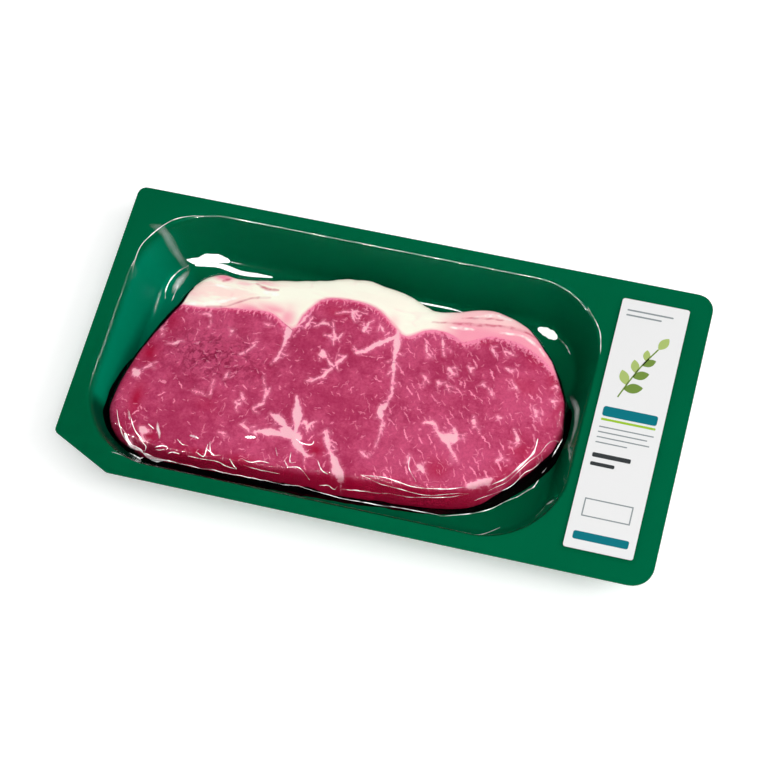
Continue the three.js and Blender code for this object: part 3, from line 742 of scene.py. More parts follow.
def leanMaterial():
    material, tree, shader = newMaterial("leanMeatMaterial", Roughness=0.35,
                                         Specular_IOR_Level=meatFinish["gloss"],
                                         Emission_Strength=meatFinish["paintedSideGlow"])
    where = addNode(tree, "TexCoord").outputs["Object"]
    coarse, right = fieldNode(tree, "coarse"), fieldNode(tree, "rightMuscle")
    seamGap, edgeGap = fieldNode(tree, "seamGap"), fieldNode(tree, "edgeGap")
    noise = lambda scale, detail, rough=0.5: noiseNode(tree, where, scale, detail, rough)
    times = lambda a, b: product(tree, a, b)
    # red muscle: broad and small mottling, and a fine grain of fibre bundles
    grain = useGroup(tree, fibreGrain, Vector=where, Scale=850.0)
    mottle = scaled(tree, noise(30.0, 2.0), 0.55, times(noise(190.0, 4.0, 0.65), 0.45))
    colour = mixColour(tree, stepNode(tree, mottle, 0.38, 0.62), meatFinish["leanDark"],
                       meatFinish["leanLight"])
    tone = stepNode(tree, grain["Tone"], 0.32, 0.68)
    colour = tinted(tree, colour, times(mathNode(tree, "SUBTRACT", 1.0, tone), 0.38), "leanDark")
    colour = tinted(tree, colour, times(tone, 0.2), "leanLight")
    # deep red patches toward the edge
    patch = stepNode(tree, noise(62.0, 3.0), 0.45, 0.62)
    border = stepNode(tree, scaled(tree, mathNode(tree, "SUBTRACT", patch, 0.5), 8.0, edgeGap), 13.0, 2.0)
    deep = mathNode(tree, "MAXIMUM", times(border, scaled(tree, patch, 0.5, 0.1)),
                    times(fieldNode(tree, "crimson"), scaled(tree, patch, 0.3, 0.7)))
    colour = tinted(tree, colour, deep, "crimson")
    # coarse muscle: soft lumps whose lows, and thin wrinkles, are painted darker as shade in the crevices
    lump = noise(270.0, 3.0, 0.6)
    low = times(stepNode(tree, lump, 0.5, 0.38), coarse)
    wrinkle = useGroup(tree, threads, Vector=where, Scale=120.0, Width=0.03, Amount=0.95, Seed=5.0)["Mask"]
    low = mathNode(tree, "MAXIMUM", low, times(wrinkle, coarse))
    colour = tinted(tree, colour, times(low, 0.8), "creviceShade")
    colour = tinted(tree, colour, times(stepNode(tree, seamGap, 2.8, 0.3), 0.55), "seam")
    # flecks: slanted ones in the right muscle, loose ones in the others, and a dust of tiny ones everywhere
    slant = useGroup(tree, flecks, Vector=where, Turn=-0.93, Spread=0.55, Scale=185.0, Share=0.85, Seed=0.31,
                     **{"Half Length": 0.0031, "Half Width": 0.00042})["Mask"]
    loose = useGroup(tree, flecks, Vector=where, Turn=0.4, Spread=6.28, Scale=170.0, Share=0.5, Seed=0.77,
                     **{"Half Length": 0.0021, "Half Width": 0.00038})["Mask"]
    tiny = useGroup(tree, flecks, Vector=where, Turn=-1.2, Spread=3.6, Scale=330.0, Share=0.38, Seed=0.13,
                    **{"Half Length": 0.0013, "Half Width": 0.0003})["Mask"]
    crowd = stepNode(tree, noise(48.0, 1.0), 0.36, 0.58)
    fleck = addNode(tree, "Mix", {"Factor": right, "A": loose, "B": slant}).outputs[0]
    fleck = times(fleck, scaled(tree, crowd, 0.5, 0.5))
    thread = useGroup(tree, threads, Vector=where, Scale=70.0, Width=0.008, Amount=0.55, Seed=1.0)["Mask"]
    pale = mathNode(tree, "MAXIMUM", times(fleck, 0.95), times(thread, 0.5))
    pale = mathNode(tree, "MAXIMUM", pale, times(tiny, 0.6))
    front = fieldNode(tree, "front")
    slope = times(front, stepNode(tree, edgeGap, 6.5, 3.2))
    pale = times(pale, mathNode(tree, "SUBTRACT", 1.0, slope))
    # the drawn marbling, with a ragged border and a soft pink halo
    ragged = mathNode(tree, "SUBTRACT", noise(620.0, 4.0, 0.7), 0.5)
    vein = scaled(tree, ragged, 2.2, fieldNode(tree, "vein"))
    halo = times(stepNode(tree, vein, 1.5, -0.2), 0.3)
    drawn = times(stepNode(tree, vein, 0.2, -0.1), scaled(tree, slope, -0.35, 1.0))
    pale = mathNode(tree, "MAXIMUM", pale, drawn)
    # the lean ends in pale bristles beside the fat cap
    bristle = useGroup(tree, flecks, Vector=where, Turn=1.45, Spread=0.7, Scale=330.0, Share=0.95, Seed=0.51,
                       **{"Half Length": 0.0036, "Half Width": 0.00042})["Mask"]
    feather = scaled(tree, ragged, scaled(tree, right, 5.0, 4.5), seamGap)
    feather = scaled(tree, right, -0.9, feather)
    feather = mathNode(tree, "MAXIMUM", times(stepNode(tree, feather, 1.5, 0.0), 0.85),
                       times(bristle, stepNode(tree, seamGap, 4.5, 1.0)))
    pale = mathNode(tree, "MAXIMUM", pale, feather)
    colour = tinted(tree, colour, halo, "marble")
    colour = tinted(tree, colour, times(pale, 0.92), "marble")
    colour = tinted(tree, colour, times(stepNode(tree, vein, -0.05, -0.6), 0.8), "marbleCore")
    # painted shade: the side band and the front slope turn a darker deep red, partly the meat's own colour
    side = mathNode(tree, "MAXIMUM", times(stepNode(tree, edgeGap, 3.0, 0.0), 0.55), times(slope, 0.88))
    colour = tinted(tree, colour, times(side, scaled(tree, pale, -0.6, 1.0)), "side")
    # painted shade: near black along the edge at both ends and at the foot of the front side
    rim = scaled(tree, ragged, 0.8, mathNode(tree, "SUBTRACT", edgeGap, fieldNode(tree, "paintedShadeRim")))
    foot = scaled(tree, ragged, 1.2, fieldNode(tree, "paintedShadeFoot"))
    paintedShade = mathNode(tree, "MAXIMUM", stepNode(tree, rim, 0.5, -0.5), stepNode(tree, foot, -0.5, 0.8))
    colour = tinted(tree, colour, paintedShade, "paintedShade")
    tree.links.new(colour, shader.inputs["Base Color"])
    # painted light: an emission glow on the front side, more toward the right, brightens the side that the
    # lamps leave dark
    paintedGlow = times(stepNode(tree, edgeGap, 8.0, 3.0), times(front, scaled(
        tree, stepNode(tree, addNode(tree, "SeparateXYZ", {0: where}).outputs[0], -0.045, 0.0), 0.7, 0.3)))
    tree.links.new(mixColour(tree, paintedGlow, (0, 0, 0, 1), colour), shader.inputs["Emission Color"])
    height = scaled(tree, grain["Border"], 0.3, times(grain["Tone"], 0.8))
    height = scaled(tree, times(lump, scaled(tree, coarse, 12.0, 0.6)), 1.0, height)
    height = scaled(tree, pale, 0.25, height)
    bump = addNode(tree, "Bump", {"Height": height, "Strength": 0.7, "Distance": 0.0006})
    tree.links.new(bump.outputs[0], shader.inputs["Normal"])
    return material


def fatMaterial():
    material, tree, shader = newMaterial("fatCapMaterial", Roughness=0.4,
                                         Specular_IOR_Level=meatFinish["gloss"])
    where = addNode(tree, "TexCoord").outputs["Object"]
    x = addNode(tree, "SeparateXYZ", {0: where}).outputs[0]
    times = lambda a, b: product(tree, a, b)
    drawn = addNode(tree, "Mapping", {"Vector": where, "Scale": (0.3, 1.0, 1.0),
                                      "Rotation": (0, 0, 0.1)}).outputs[0]
    soft, broad = noiseNode(tree, drawn, 130.0, 4.0, 0.6), noiseNode(tree, drawn, 45.0, 2.0)
    leftSide, rightSide = stepNode(tree, x, -0.048, -0.085), stepNode(tree, x, 0.012, 0.03)
    seamGap = fieldNode(tree, "seamGap")
    # cream in the middle, rosy streaks at the left, pink toward the right end
    rose = times(stepNode(tree, soft, 0.42, 0.6), scaled(tree, leftSide, 0.6, 0.12))
    colour = mixColour(tree, rose, meatFinish["fat"], meatFinish["fatRose"])
    pink = times(scaled(tree, stepNode(tree, broad, 0.36, 0.62), 0.6, 0.3), rightSide)
    colour = tinted(tree, colour, pink, "fatPink")
    blush = times(fieldNode(tree, "blush"), scaled(tree, soft, 0.8, 0.6))
    colour = tinted(tree, colour, blush, "fatPink")
    # blush along the seam and the outer edge, and thin vessels
    beside = stepNode(tree, scaled(tree, soft, 2.0, seamGap), 2.8, 0.9)
    colour = tinted(tree, colour, times(beside, scaled(tree, rightSide, -0.45, 0.7)), "fatPink")
    vessel = useGroup(tree, threads, Vector=drawn, Scale=60.0, Width=0.012, Amount=0.75, Seed=3.0)["Mask"]
    colour = tinted(tree, colour, times(vessel, scaled(tree, leftSide, 0.4, 0.12)), "fatPink")
    outer = times(stepNode(tree, scaled(tree, soft, 4.0, fieldNode(tree, "edgeGap")), 4.0, 1.4), 0.4)
    colour = tinted(tree, colour, outer, "fatPink")
    # drawn streaks: bright folds of fat and red strips of muscle between its layers
    ragged = mathNode(tree, "SUBTRACT", soft, 0.5)
    bright = stepNode(tree, scaled(tree, ragged, 3.0, fieldNode(tree, "brightGap")), 0.6, -0.6)
    patchy = stepNode(tree, noiseNode(tree, where, 210.0, 3.0), 0.4, 0.58)
    bright = times(bright, scaled(tree, patchy, 0.6, 0.25))
    colour = tinted(tree, colour, bright, "fatBright")
    red = stepNode(tree, scaled(tree, ragged, 2.4, fieldNode(tree, "redGap")), 0.7, -0.5)
    red = times(red, scaled(tree, patchy, 0.5, 0.25))
    colour = tinted(tree, colour, red, "strip")
    # painted shade: near black along the fat's edge at both ends
    rim = mathNode(tree, "SUBTRACT", fieldNode(tree, "edgeGap"), fieldNode(tree, "paintedShadeRim"))
    rim = scaled(tree, ragged, 2.0, rim)
    colour = tinted(tree, colour, stepNode(tree, rim, 0.4, -0.4), "paintedShade")
    tree.links.new(colour, shader.inputs["Base Color"])
    height = scaled(tree, broad, 2.0, soft)
    bump = addNode(tree, "Bump", {"Height": height, "Strength": 0.5, "Distance": 0.0007})
    tree.links.new(bump.outputs[0], shader.inputs["Normal"])
    return material


leanMeat = buildLean()
leanMeat.data.materials.append(leanMaterial())
fatCap = buildFatCap()
fatCap.data.materials.append(fatMaterial())
for piece, node, slotName in ((leanMeat, "steak_lean", "lean"), (fatCap, "steak_fat_cap", "fat")):
    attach(piece, "root")
    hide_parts(node)
print("steak ready")

# the clear film
filmShape = {
    "gap": 0.3, "thickness": 0.35, "edgeInset": 0.6, "sag": 1.7,
    "start": 0.9,  # how far in from the meat's edge the film leaves the meat
    "rimFrom": 4.0, "rimTo": -3.0,  # insets from the tray's rim between which its rows are close together
    "tightTent": 4.0, "looseTent": 10.0,  # how far from the meat the film reaches the tray
}
filmFinish = {"roughness": 0.06, "shareAtMost": 0.5, "index": 1.13, "paintedGlintGlow": 0.7}
# a fold's section, from side to side and back along its underside, as shares of its half width, and the width
# above and the share below which it is a faint painted reflection
foldAndGlintShape = {
    "side": (-1, -0.5, 0, 0.5, 1, 0), "rise": (0, 0.6, 0.8, 0.6, 0, -0.25), "highest": 0.35,
    "reflectionSmearWidth": 1.6, "reflectionSmearShare": 0.6,
}
# folds of gathered film, pale where it doubles, and painted highlights and reflections drawn the same way,
# such as the glints at the far wall's foot and along the rim: width, how much they cover, which may be more
# than all to make them solid, then the line on the film seen from above
foldsAndPaintedGlints = [
    (0.35, 0.8, (-117, -40), (-114.5, -45.5), (-113, -48), (-111.5, -50.5), (-109.5, -52.5), (-108, -53.5)),
    (3, 1, (-110, -50.5), (-108, -53), (-106.5, -54), (-104, -54.5), (-101.5, -55), (-100.5, -55.5)),
    (0.4, 0.9, (-111, -40), (-108.5, -44), (-107, -46.5), (-105, -49), (-102, -51.5), (-100.5, -53),
     (-99, -54), (-99.5, -55), (-101, -55)),
    (1, 0.4, (-111.5, -39.5), (-110.5, -41.5), (-109.5, -44)),
    (4, 1, (-100.5, -55.5), (-98, -56), (-95, -56.5), (-90.5, -56.5)),
    (0.8, 1, (-95.5, -56.5), (-90.5, -56.5), (-87, -56.5), (-84, -56.5)),
    (0.4, 0.9, (-85, -56.5), (-78.5, -56.5), (-73, -56.5), (-66.5, -56), (-61.5, -56), (-52, -55.5),
     (-40.5, -55), (-31, -54.5)),
    (0.35, 0.9, (-33.5, -54.5), (-17, -54), (-4.5, -54), (10, -53.5), (26, -52.5), (40.5, -51.5)),
    (0.35, 0.8, (39, -52), (49, -49), (54.5, -47), (61, -43.5), (66, -39.5), (71.5, -35)),
    (0.6, 1, (70.5, -36), (75, -31.5), (77.5, -29), (79, -26)),
    (0.4, 0.8, (80, -23), (81.5, -20)),
    (0.5, 0.9, (-108, -55), (-105.5, -55.5), (-103, -56), (-101, -56)),
    (1.7, 0.45, (-96.5, -42), (-95.5, -45), (-94, -47.5), (-93, -50.5)),
    (0.4, 0.7, (-100.5, -44), (-97, -46)),
    (0.4, 0.7, (-94.5, -54), (-93, -53.5), (-91.5, -53), (-89, -53), (-88, -53.5)),
    (0.35, 0.5, (-94, -54.5), (-92, -54.5), (-89.5, -54)),
    (0.6, 1, (-88, -55), (-86, -54.5), (-82.5, -54.5)),
    (1.2, 1, (-80, -45.5), (-78, -45.5), (-75.5, -46)),
    (0.35, 0.5, (-85, -48.5), (-82, -50.5), (-79, -50.5)),
    (0.35, 0.7, (-78.5, -54.5), (-75.5, -54.5), (-73, -54.5)),
    (1.3, 1, (-55, -40.5), (-50, -39.5)),
    (0.4, 0.8, (-75, -52.5), (-71, -53.5), (-70.5, -47.5)),
    (0.35, 0.8, (-70, -46.5), (-67.5, -52), (-63, -51.5)),
    (0.35, 0.7, (-71, -50), (-65.5, -52.5)),
    (0.35, 0.9, (-73, -54.5), (-64, -54), (-60.5, -54.5), (-56, -54.5)),
    (0.6, 0.9, (-59, -52), (-57.5, -53.5), (-55.5, -54.5)),
    (0.35, 0.6, (-52.5, -53), (-45.5, -53), (-35.5, -52.5)),
    (0.35, 0.8, (-54, -51), (-49.5, -51.5), (-44.5, -50), (-40.5, -50)),
    (0.45, 0.7, (-40, -42), (-38, -46)),
    (0.4, 0.8, (-34.5, -47), (-32, -49.5), (-27.5, -49), (-21.5, -52)),
    (0.4, 0.6, (-32.5, -42.5), (-31.5, -47.5), (-29, -47)),
    (0.5, 0.7, (-32, -36), (-28.5, -37.5), (-24, -37), (-23.5, -35)),
    (0.4, 0.6, (-19.5, -44), (-16.5, -48), (-13.5, -49)),
    (0.4, 0.8, (-17, -52.5), (-13, -52), (-10, -52.5), (-8.5, -51.5)),
    (0.45, 0.9, (-7, -52), (2.5, -51), (11.5, -50)),
    (0.35, 0.5, (11.5, -50), (25.5, -49), (42, -46), (49.5, -43.5)),
    (0.4, 0.7, (1.5, -46.5), (12, -45.5), (18.5, -46), (25, -46.5), (31.5, -46)),
    (0.5, 0.9, (31.5, -46), (42, -44), (49, -41.5)),
    (0.35, 0.7, (1.5, -46.5), (8, -47.5), (12.5, -48), (21.5, -48), (32.5, -47.5), (50.5, -43)),
    (0.9, 0.45, (60, -37), (65, -33), (69, -28.5), (72.5, -23.5), (75, -19), (75.5, -16), (75.5, -11.5)),
    (0.3, 0.6, (58.5, -39.5), (66, -33.5), (71, -27.5), (74.5, -22.5), (78, -18), (80.5, -12.5),
     (84.5, -8)),
    (0.35, 0.9, (53.5, -43.5), (64, -37), (69, -32.5), (73, -27.5), (76, -24.5), (78.5, -20.5),
     (79, -17.5)),
    (1, 1, (83, -15.5), (84, -12), (85, -7.5), (85.5, -5)),
    (0.35, 0.5, (21, -33), (22, -38.5), (27, -44.5)),
    (0.5, 0.8, (-117.5, 29.5), (-118.5, 33.5), (-118, 39), (-115.5, 44.5), (-111.5, 49)),
    (0.4, 0.5, (-113.5, 38.5), (-114, 29)),
    (4.2, 4, (-112.5, 50.5), (-107.5, 52), (-102.5, 54.5), (-96.5, 55.5), (-92.5, 55.5)),
    (2.6, 4, (-108.5, 50), (-101.5, 52), (-96, 52.5), (-85.5, 51), (-77, 51.5), (-70, 52)),
    (0.9, 4, (-4, 54), (3, 54), (10, 54), (17.5, 54), (24, 53.5)),
    (4.4, 4, (60.5, 53), (64, 52), (68, 50.5), (70.5, 49.5)),
    (0.5, 0.25, (71, 50), (75.5, 46.5), (78.5, 42.5)),
    (6, 0.11, (-129.5, 54), (-122.5, 53), (-116.5, 50), (-110, 47)),
    (4.5, 0.4, (-110.5, 47), (-113.5, 39.5), (-115, 32.5)),
    (7, 0.26, (83, 22), (88.5, 10.5), (90.5, 0.5), (90, -12)),
    (2, 0.4, (85, -37.5), (89.5, -39)),
    (0.35, 0.5, (81, -44), (85, -38.5)),
    (0.3, 0.35, (-111, -64), (-105.5, -64.5), (-100, -65.5), (-84.5, -65), (-49.5, -65), (-12, -65)),
    (0.35, 0.3, (49, -61.5), (58.5, -56.5), (67, -50)),
    (0.4, 0.5, (-130, 25), (-130.5, 33.5), (-129.5, 42.5), (-126.5, 49), (-122.5, 55), (-118, 59.5),
     (-112, 62.5), (-105, 64.5)),
    (0.35, 0.45, (83.5, 56), (89.5, 48.5), (92, 44), (93.5, 38.5), (94.5, 33)),
]


def tentWidth(angles):
    # how far the film reaches from the meat's edge before it lies on the tray: wider at the front right
    loose = smoothStep(angles, -1.45, -0.9) * (1 - smoothStep(angles, -0.25, 0.05))
    return filmShape["tightTent"] + (filmShape["looseTent"] - filmShape["tightTent"]) * loose


def filmUnder(reach, edge, angles):
    # what the film is drawn down on: the meat, then a sagging tent to the tray, whichever is higher
    x = centre[0] + reach * np.cos(angles)
    y = reach * np.sin(angles)
    start = edge - filmShape["start"]
    startZ = meatHeight(start, edge, angles)
    u = np.clip((reach - start) / tentWidth(angles), 0, 1)
    tent = trayShape["wall"] + (startZ - trayShape["wall"]) * (1 - u) ** filmShape["sag"]
    over = np.where(reach < start, meatHeight(reach, edge, angles), tent)
    tray = trayHeight(x, y)
    return np.maximum(over, tray) + 0.25 * np.exp(-np.abs(over - tray) / 0.5)


def filmHeight(x, y):
    # height of the film's upper face over any point
    angles, reach = np.arctan2(y, x - centre[0]), np.hypot(x - centre[0], y)
    return filmUnder(reach, edgeReach(angles), angles) + filmShape["gap"] + filmShape["thickness"]


def buildFoldsAndGlints():
    # each fold or painted glint is a low lens-shaped ridge carried along its line on the film, thin at both
    # ends
    bodies, cover = [], []
    side, rise = np.array(foldAndGlintShape["side"]), np.array(foldAndGlintShape["rise"])
    for width, share, *line in foldsAndPaintedGlints:
        curve = smoothCurve(line, False, 12) if len(line) > 2 else np.linspace(*np.array(line, float), 14)
        t = np.linspace(0, 1, len(curve))[:, None]
        uneven = 0.06 if max(width, share) > foldAndGlintShape["reflectionSmearWidth"] else 0.3  # broad and solid ones are even
        half = width / 2 * (0.12 + 0.88 * np.sin(np.pi * t) ** 0.6)
        half = half * (1 + uneven * np.sin(t * 23 + width * 40))
        along = np.gradient(curve, axis=0)
        across = np.c_[-along[:, 1], along[:, 0]] / (np.linalg.norm(along, axis=1, keepdims=True) + 1e-9)
        rises = filmHeight(*(curve + 0.4 * across).T) - filmHeight(*(curve - 0.4 * across).T)
        half /= np.hypot(1, rises / 0.8)[:, None]  # as wide as told along a steep face too
        xy = curve[:, None] + across[:, None] * (half * side)[..., None]
        z = filmHeight(*xy.reshape(-1, 2).T).reshape(xy.shape[:2])
        z = z + np.minimum(half, foldAndGlintShape["highest"]) * rise
        bodies.append(np.concatenate([xy, z[..., None]], -1)[:, ::-1])
        # broad folds of low share are faint painted reflections
        reflectionSmear = float(width > foldAndGlintShape["reflectionSmearWidth"] and share < foldAndGlintShape["reflectionSmearShare"])
        soft = (1 - reflectionSmear * side[::-1] ** 2) * (1 - reflectionSmear + reflectionSmear * np.sin(np.pi * t))
        cover.append(np.c_[(share * soft).ravel(), np.full(soft.size, reflectionSmear)])
    piece, _ = tubesPiece("foldsAndPaintedGlints", bodies)
    cover = np.concatenate(cover)
    addField(piece, "cover", cover[:, 0])
    addField(piece, "reflectionSmear", cover[:, 1])
    return piece


def buildFilm():
    edge = edgeReach(theta)
    start = edge - filmShape["start"]
    rimStart, rimEnd = recessReach(theta, filmShape["rimFrom"]), recessReach(theta, filmShape["rimTo"])
    last = outlineReach - filmShape["edgeInset"]
    stretch = lambda a, b, n, ease=1.0: a + (b - a) * (1 - (1 - np.arange(n) / n) ** ease)[:, None]
    tentEnd = np.minimum(start + tentWidth(theta), rimStart - 1.5)
    down = np.linspace(0, 1, 22, endpoint=False)  # rows down the tent, spaced by reach and by height
    out = 0.35 * down + 0.65 * (1 - (1 - down) ** (1 / filmShape["sag"]))
    tent = start + (tentEnd - start) * out[:, None]
    reach = np.vstack([stretch(edge * 0.04, edge - 9, 12), stretch(edge - 9, start, 20, 1.6), tent,
                       stretch(tentEnd, rimStart, 14), stretch(rimStart, rimEnd, 12),
                       stretch(rimEnd, last, 6), last[None]])
    under = polar(reach, theta, filmUnder(reach, edge, theta))
    inner = offsetRings(under, filmShape["gap"])
    outer = offsetRings(under, filmShape["gap"] + filmShape["thickness"])
    keep = np.r_[np.arange(0, len(reach) - 1, 3), len(reach) - 1]
    piece, points = lensPiece("clearFilm", outer, inner[keep], 70)
    around = np.arctan2(points[:, 1], points[:, 0] - centre[0])
    away = np.hypot(points[:, 0] - centre[0], points[:, 1]) - np.interp(around, theta, edge)
    addField(piece, "awayFromMeat", away)
    shoulder = smoothStep(away, -11, -9) * (1 - smoothStep(away, -3.5, -2))
    addField(piece, "shoulder", frontShare(around) * shoulder)
    return piece


def filmMaterial():
    # clear film: a mirror mixed into a see-through sheet by Fresnel, on its outer face alone, and weak on the
    # meat's front shoulder, where the folds and their painted glints carry the light
    material, tree, shader = newMaterial("clearFilmMaterial", Base_Color=(1, 1, 1, 1), Metallic=1.0,
                                         Roughness=filmFinish["roughness"])
    where = addNode(tree, "TexCoord").outputs["Object"]
    fine = noiseNode(tree, where, 210.0, 2.0, distortion=1.2)
    slack = noiseNode(tree, where, 45.0, 1.0)
    away = fieldNode(tree, "awayFromMeat")
    near = product(tree, stepNode(tree, away, -14.0, -3.0), stepNode(tree, away, 9.0, 4.0))
    strength = scaled(tree, near, 0.3, 0.05)
    height = scaled(tree, fine, strength, slack)
    bump = addNode(tree, "Bump", {"Height": height, "Strength": 0.6, "Distance": 0.0011})
    fresnel = addNode(tree, "Fresnel", {"IOR": filmFinish["index"], "Normal": bump.outputs[0]}).outputs[0]
    front = mathNode(tree, "SUBTRACT", 1.0, addNode(tree, "NewGeometry").outputs["Backfacing"])
    seen = product(tree, front, addNode(tree, "LightPath").outputs["Is Camera Ray"])
    seen = product(tree, seen, scaled(tree, fieldNode(tree, "shoulder"), -0.8, 1.0))
    share = product(tree, mathNode(tree, "MINIMUM", fresnel, filmFinish["shareAtMost"]), seen)
    tree.links.new(bump.outputs[0], shader.inputs["Normal"])
    clear = addNode(tree, "BsdfTransparent")
    mix = addNode(tree, "MixShader", {0: share, 1: clear.outputs[0], 2: shader.outputs[0]})
    tree.links.new(mix.outputs[0], tree.nodes["Material Output"].inputs["Surface"])
    return material


def foldAndGlintMaterial():
    # doubled, gathered film and painted glints: white, glossy and glowing by emission, patchy along its
    # length
    material, tree, shader = newMaterial("gatheredFilmAndGlintMaterial", Base_Color=(1, 1, 1, 1), Roughness=0.15,
                                         Emission_Color=(1, 1, 1, 1),
                                         Emission_Strength=filmFinish["paintedGlintGlow"])
    where = addNode(tree, "TexCoord").outputs["Object"]
    patchy = noiseNode(tree, where, 130.0, 2.0)
    alpha = addNode(tree, "MapRange", {"Value": patchy, "From Min": 0.4, "From Max": 0.56, "To Min": 0.15,
                                       "To Max": 1.0}).outputs[0]
    alpha = addNode(tree, "Mix", {"Factor": fieldNode(tree, "reflectionSmear"), "A": alpha, "B": patchy}).outputs[0]
    tree.links.new(product(tree, alpha, fieldNode(tree, "cover")), shader.inputs["Alpha"])
    return material


clearFilm = buildFilm()
clearFilm.data.materials.append(filmMaterial())
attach(clearFilm, "root")
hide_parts("film")
gatheredFilmAndGlints = buildFoldsAndGlints()
gatheredFilmAndGlints.data.materials.append(foldAndGlintMaterial())
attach(gatheredFilmAndGlints, "root")
print("film ready")

# juice and painted shade between meat and film
juiceAndShadeShape = {
    "first": -3.5, "last": 0.85, "height": 5, "under": 2.5,  # how high it is drawn up, and how far in
    # beyond the slice's edge at each angle
    "reach": [(-3.5, 7.5), (-3.3, 7), (-3.2, 6.4), (-3.1, 5.8), (-2.98, 4.8), (-2.84, 3.4), (-2.6, 0.3),
              (-2, 0.3), (-1.6, 0.8), (-1.15, 1.4), (-0.8, 1.9), (-0.6, 1.4), (-0.42, 0.9), (-0.28, 0.9),
              (-0.1, 1.5), (0.1, 2.6), (0.35, 2.2), (0.55, 1.6), (0.85, 1.2)],
}


def buildJuiceAndShade():
    # dark juice and painted shade drawn up between the slice and the film: a thin hollow-topped wedge carried
    # along three sides
    first, last = juiceAndShadeShape["first"], juiceAndShadeShape["last"]
    angles = np.linspace(first, last, 640)
    edge = edgeReach(angles)
    taper = smoothStep(angles, first, first + 0.14) * (1 - smoothStep(angles, last - 0.2, last))
    beyond = np.interp(angles, *np.array(juiceAndShadeShape["reach"]).T)
    beyond += 0.35 * waves(angles * 40, angles * 0, 3, 14.0, 3)
    share = np.linspace(0, 1, 14)[:, None]
    reach = edge - juiceAndShadeShape["under"] + (juiceAndShadeShape["under"] + beyond * taper) * share
    rise = 0.12 + juiceAndShadeShape["height"] * (0.15 + 0.85 * taper) * (1 - share) ** 2
    base = trayHeight(centre[0] + reach * np.cos(angles), reach * np.sin(angles))
    top = polar(reach, angles, np.maximum(base, trayShape["wall"] + rise) + 0.04)
    low = polar(reach[::-4], angles, base[::-4] + 0.01)
    loops = np.concatenate([top, low]).transpose(1, 0, 2)
    piece, points = tubesPiece("meatJuiceAndShade", [loops], 60)
    addField(piece, "side", smoothStep(np.abs(points[:, 0] - centre[0]), 50, 70))
    return piece


def juiceAndShadeMaterial():
    # dark red juice in front, near-black painted shade in the narrow gaps at both ends
    material, tree, shader = newMaterial("meatJuiceAndShadeMaterial", Roughness=0.12, Specular_IOR_Level=0.015)
    where = addNode(tree, "TexCoord").outputs["Object"]
    pool = noiseNode(tree, where, 70.0, 2.0)
    colour = mixColour(tree, stepNode(tree, pool, 0.38, 0.6), linear(40, 2, 12), linear(14, 2, 6))
    colour = mixColour(tree, fieldNode(tree, "side"), colour, linear(8, 6, 6))
    tree.links.new(colour, shader.inputs["Base Color"])
    return material


juiceAndShade = buildJuiceAndShade()
juiceAndShade.data.materials.append(juiceAndShadeMaterial())
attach(juiceAndShade, "root")
print("juice ready")

# the label and its print
labelShape = {
    "centre": (114.2, 0.6), "width": 31.4, "length": 127.0, "round": 1.2, "low": 27.0, "high": 27.3,
    "printRise": 0.06,
}
printColours = {
    "teal": linear(0, 112, 124), "lime": linear(150, 190, 50), "ink": linear(52, 56, 58),
    "grey": linear(138, 146, 148), "leaf": linear(112, 140, 62), "paleLeaf": linear(166, 186, 108),
}


def plate(outline, low, high):
    # an outline raised into a thin closed plate: side walls between a lower and an upper copy of it
    count = len(outline)
    points = np.vstack([np.c_[outline, np.full(count, low)], np.c_[outline, np.full(count, high)]])
    return points, quadFaces(2, count)[:, ::-1], [list(range(count))[::-1], list(range(count, 2 * count))]


def platesPiece(name, outlines, low, high):
    points, quads, caps, first = [], [], [], 0
    for outline in outlines:
        p, q, c = plate(np.asarray(outline, float), low, high)
        points.append(p)
        quads.append(q + first)
        caps += [[v + first for v in face] for face in c]
        first += len(p)
    return makePiece(name, np.vstack(points), np.vstack(quads), caps, 30)


def bar(x0, x1, y0, y1, radius=0.4):
    corners = [(x1, y0), (x1, y1), (x0, y1), (x0, y0)]
    return roundedLine([corners[-1], *corners, corners[0]], [radius] * 4, 4)


def leaf(cx, cy, size, turn):
    # two arcs that meet in points: width falls to nothing at both ends of the length
    t = np.linspace(0, 1, 12)
    half = 0.28 * size * np.sin(np.pi * t) ** 0.8
    shape = np.vstack([np.c_[t * size, -half], np.c_[t[::-1] * size, half[::-1]][1:-1]])
    c, s = np.cos(turn), np.sin(turn)
    return np.c_[cx + shape[:, 0] * c - shape[:, 1] * s, cy + shape[:, 0] * s + shape[:, 1] * c]


labelCx, labelCy = labelShape["centre"]
halfWide, halfLong = labelShape["width"] / 2, labelShape["length"] / 2
labelSheet = platesPiece("labelSheet", [bar(labelCx - halfWide, labelCx + halfWide, labelCy - halfLong,
                                            labelCy + halfLong, labelShape["round"])],
                         labelShape["low"], labelShape["high"])
labelMaterial, labelTree, labelShader = newMaterial("labelPaper", Base_Color=linear(228, 228, 228),
                                                    Roughness=0.42, Specular_IOR_Level=0.03)
labelSheet.data.materials.append(labelMaterial)
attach(labelSheet, "root")
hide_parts("label")

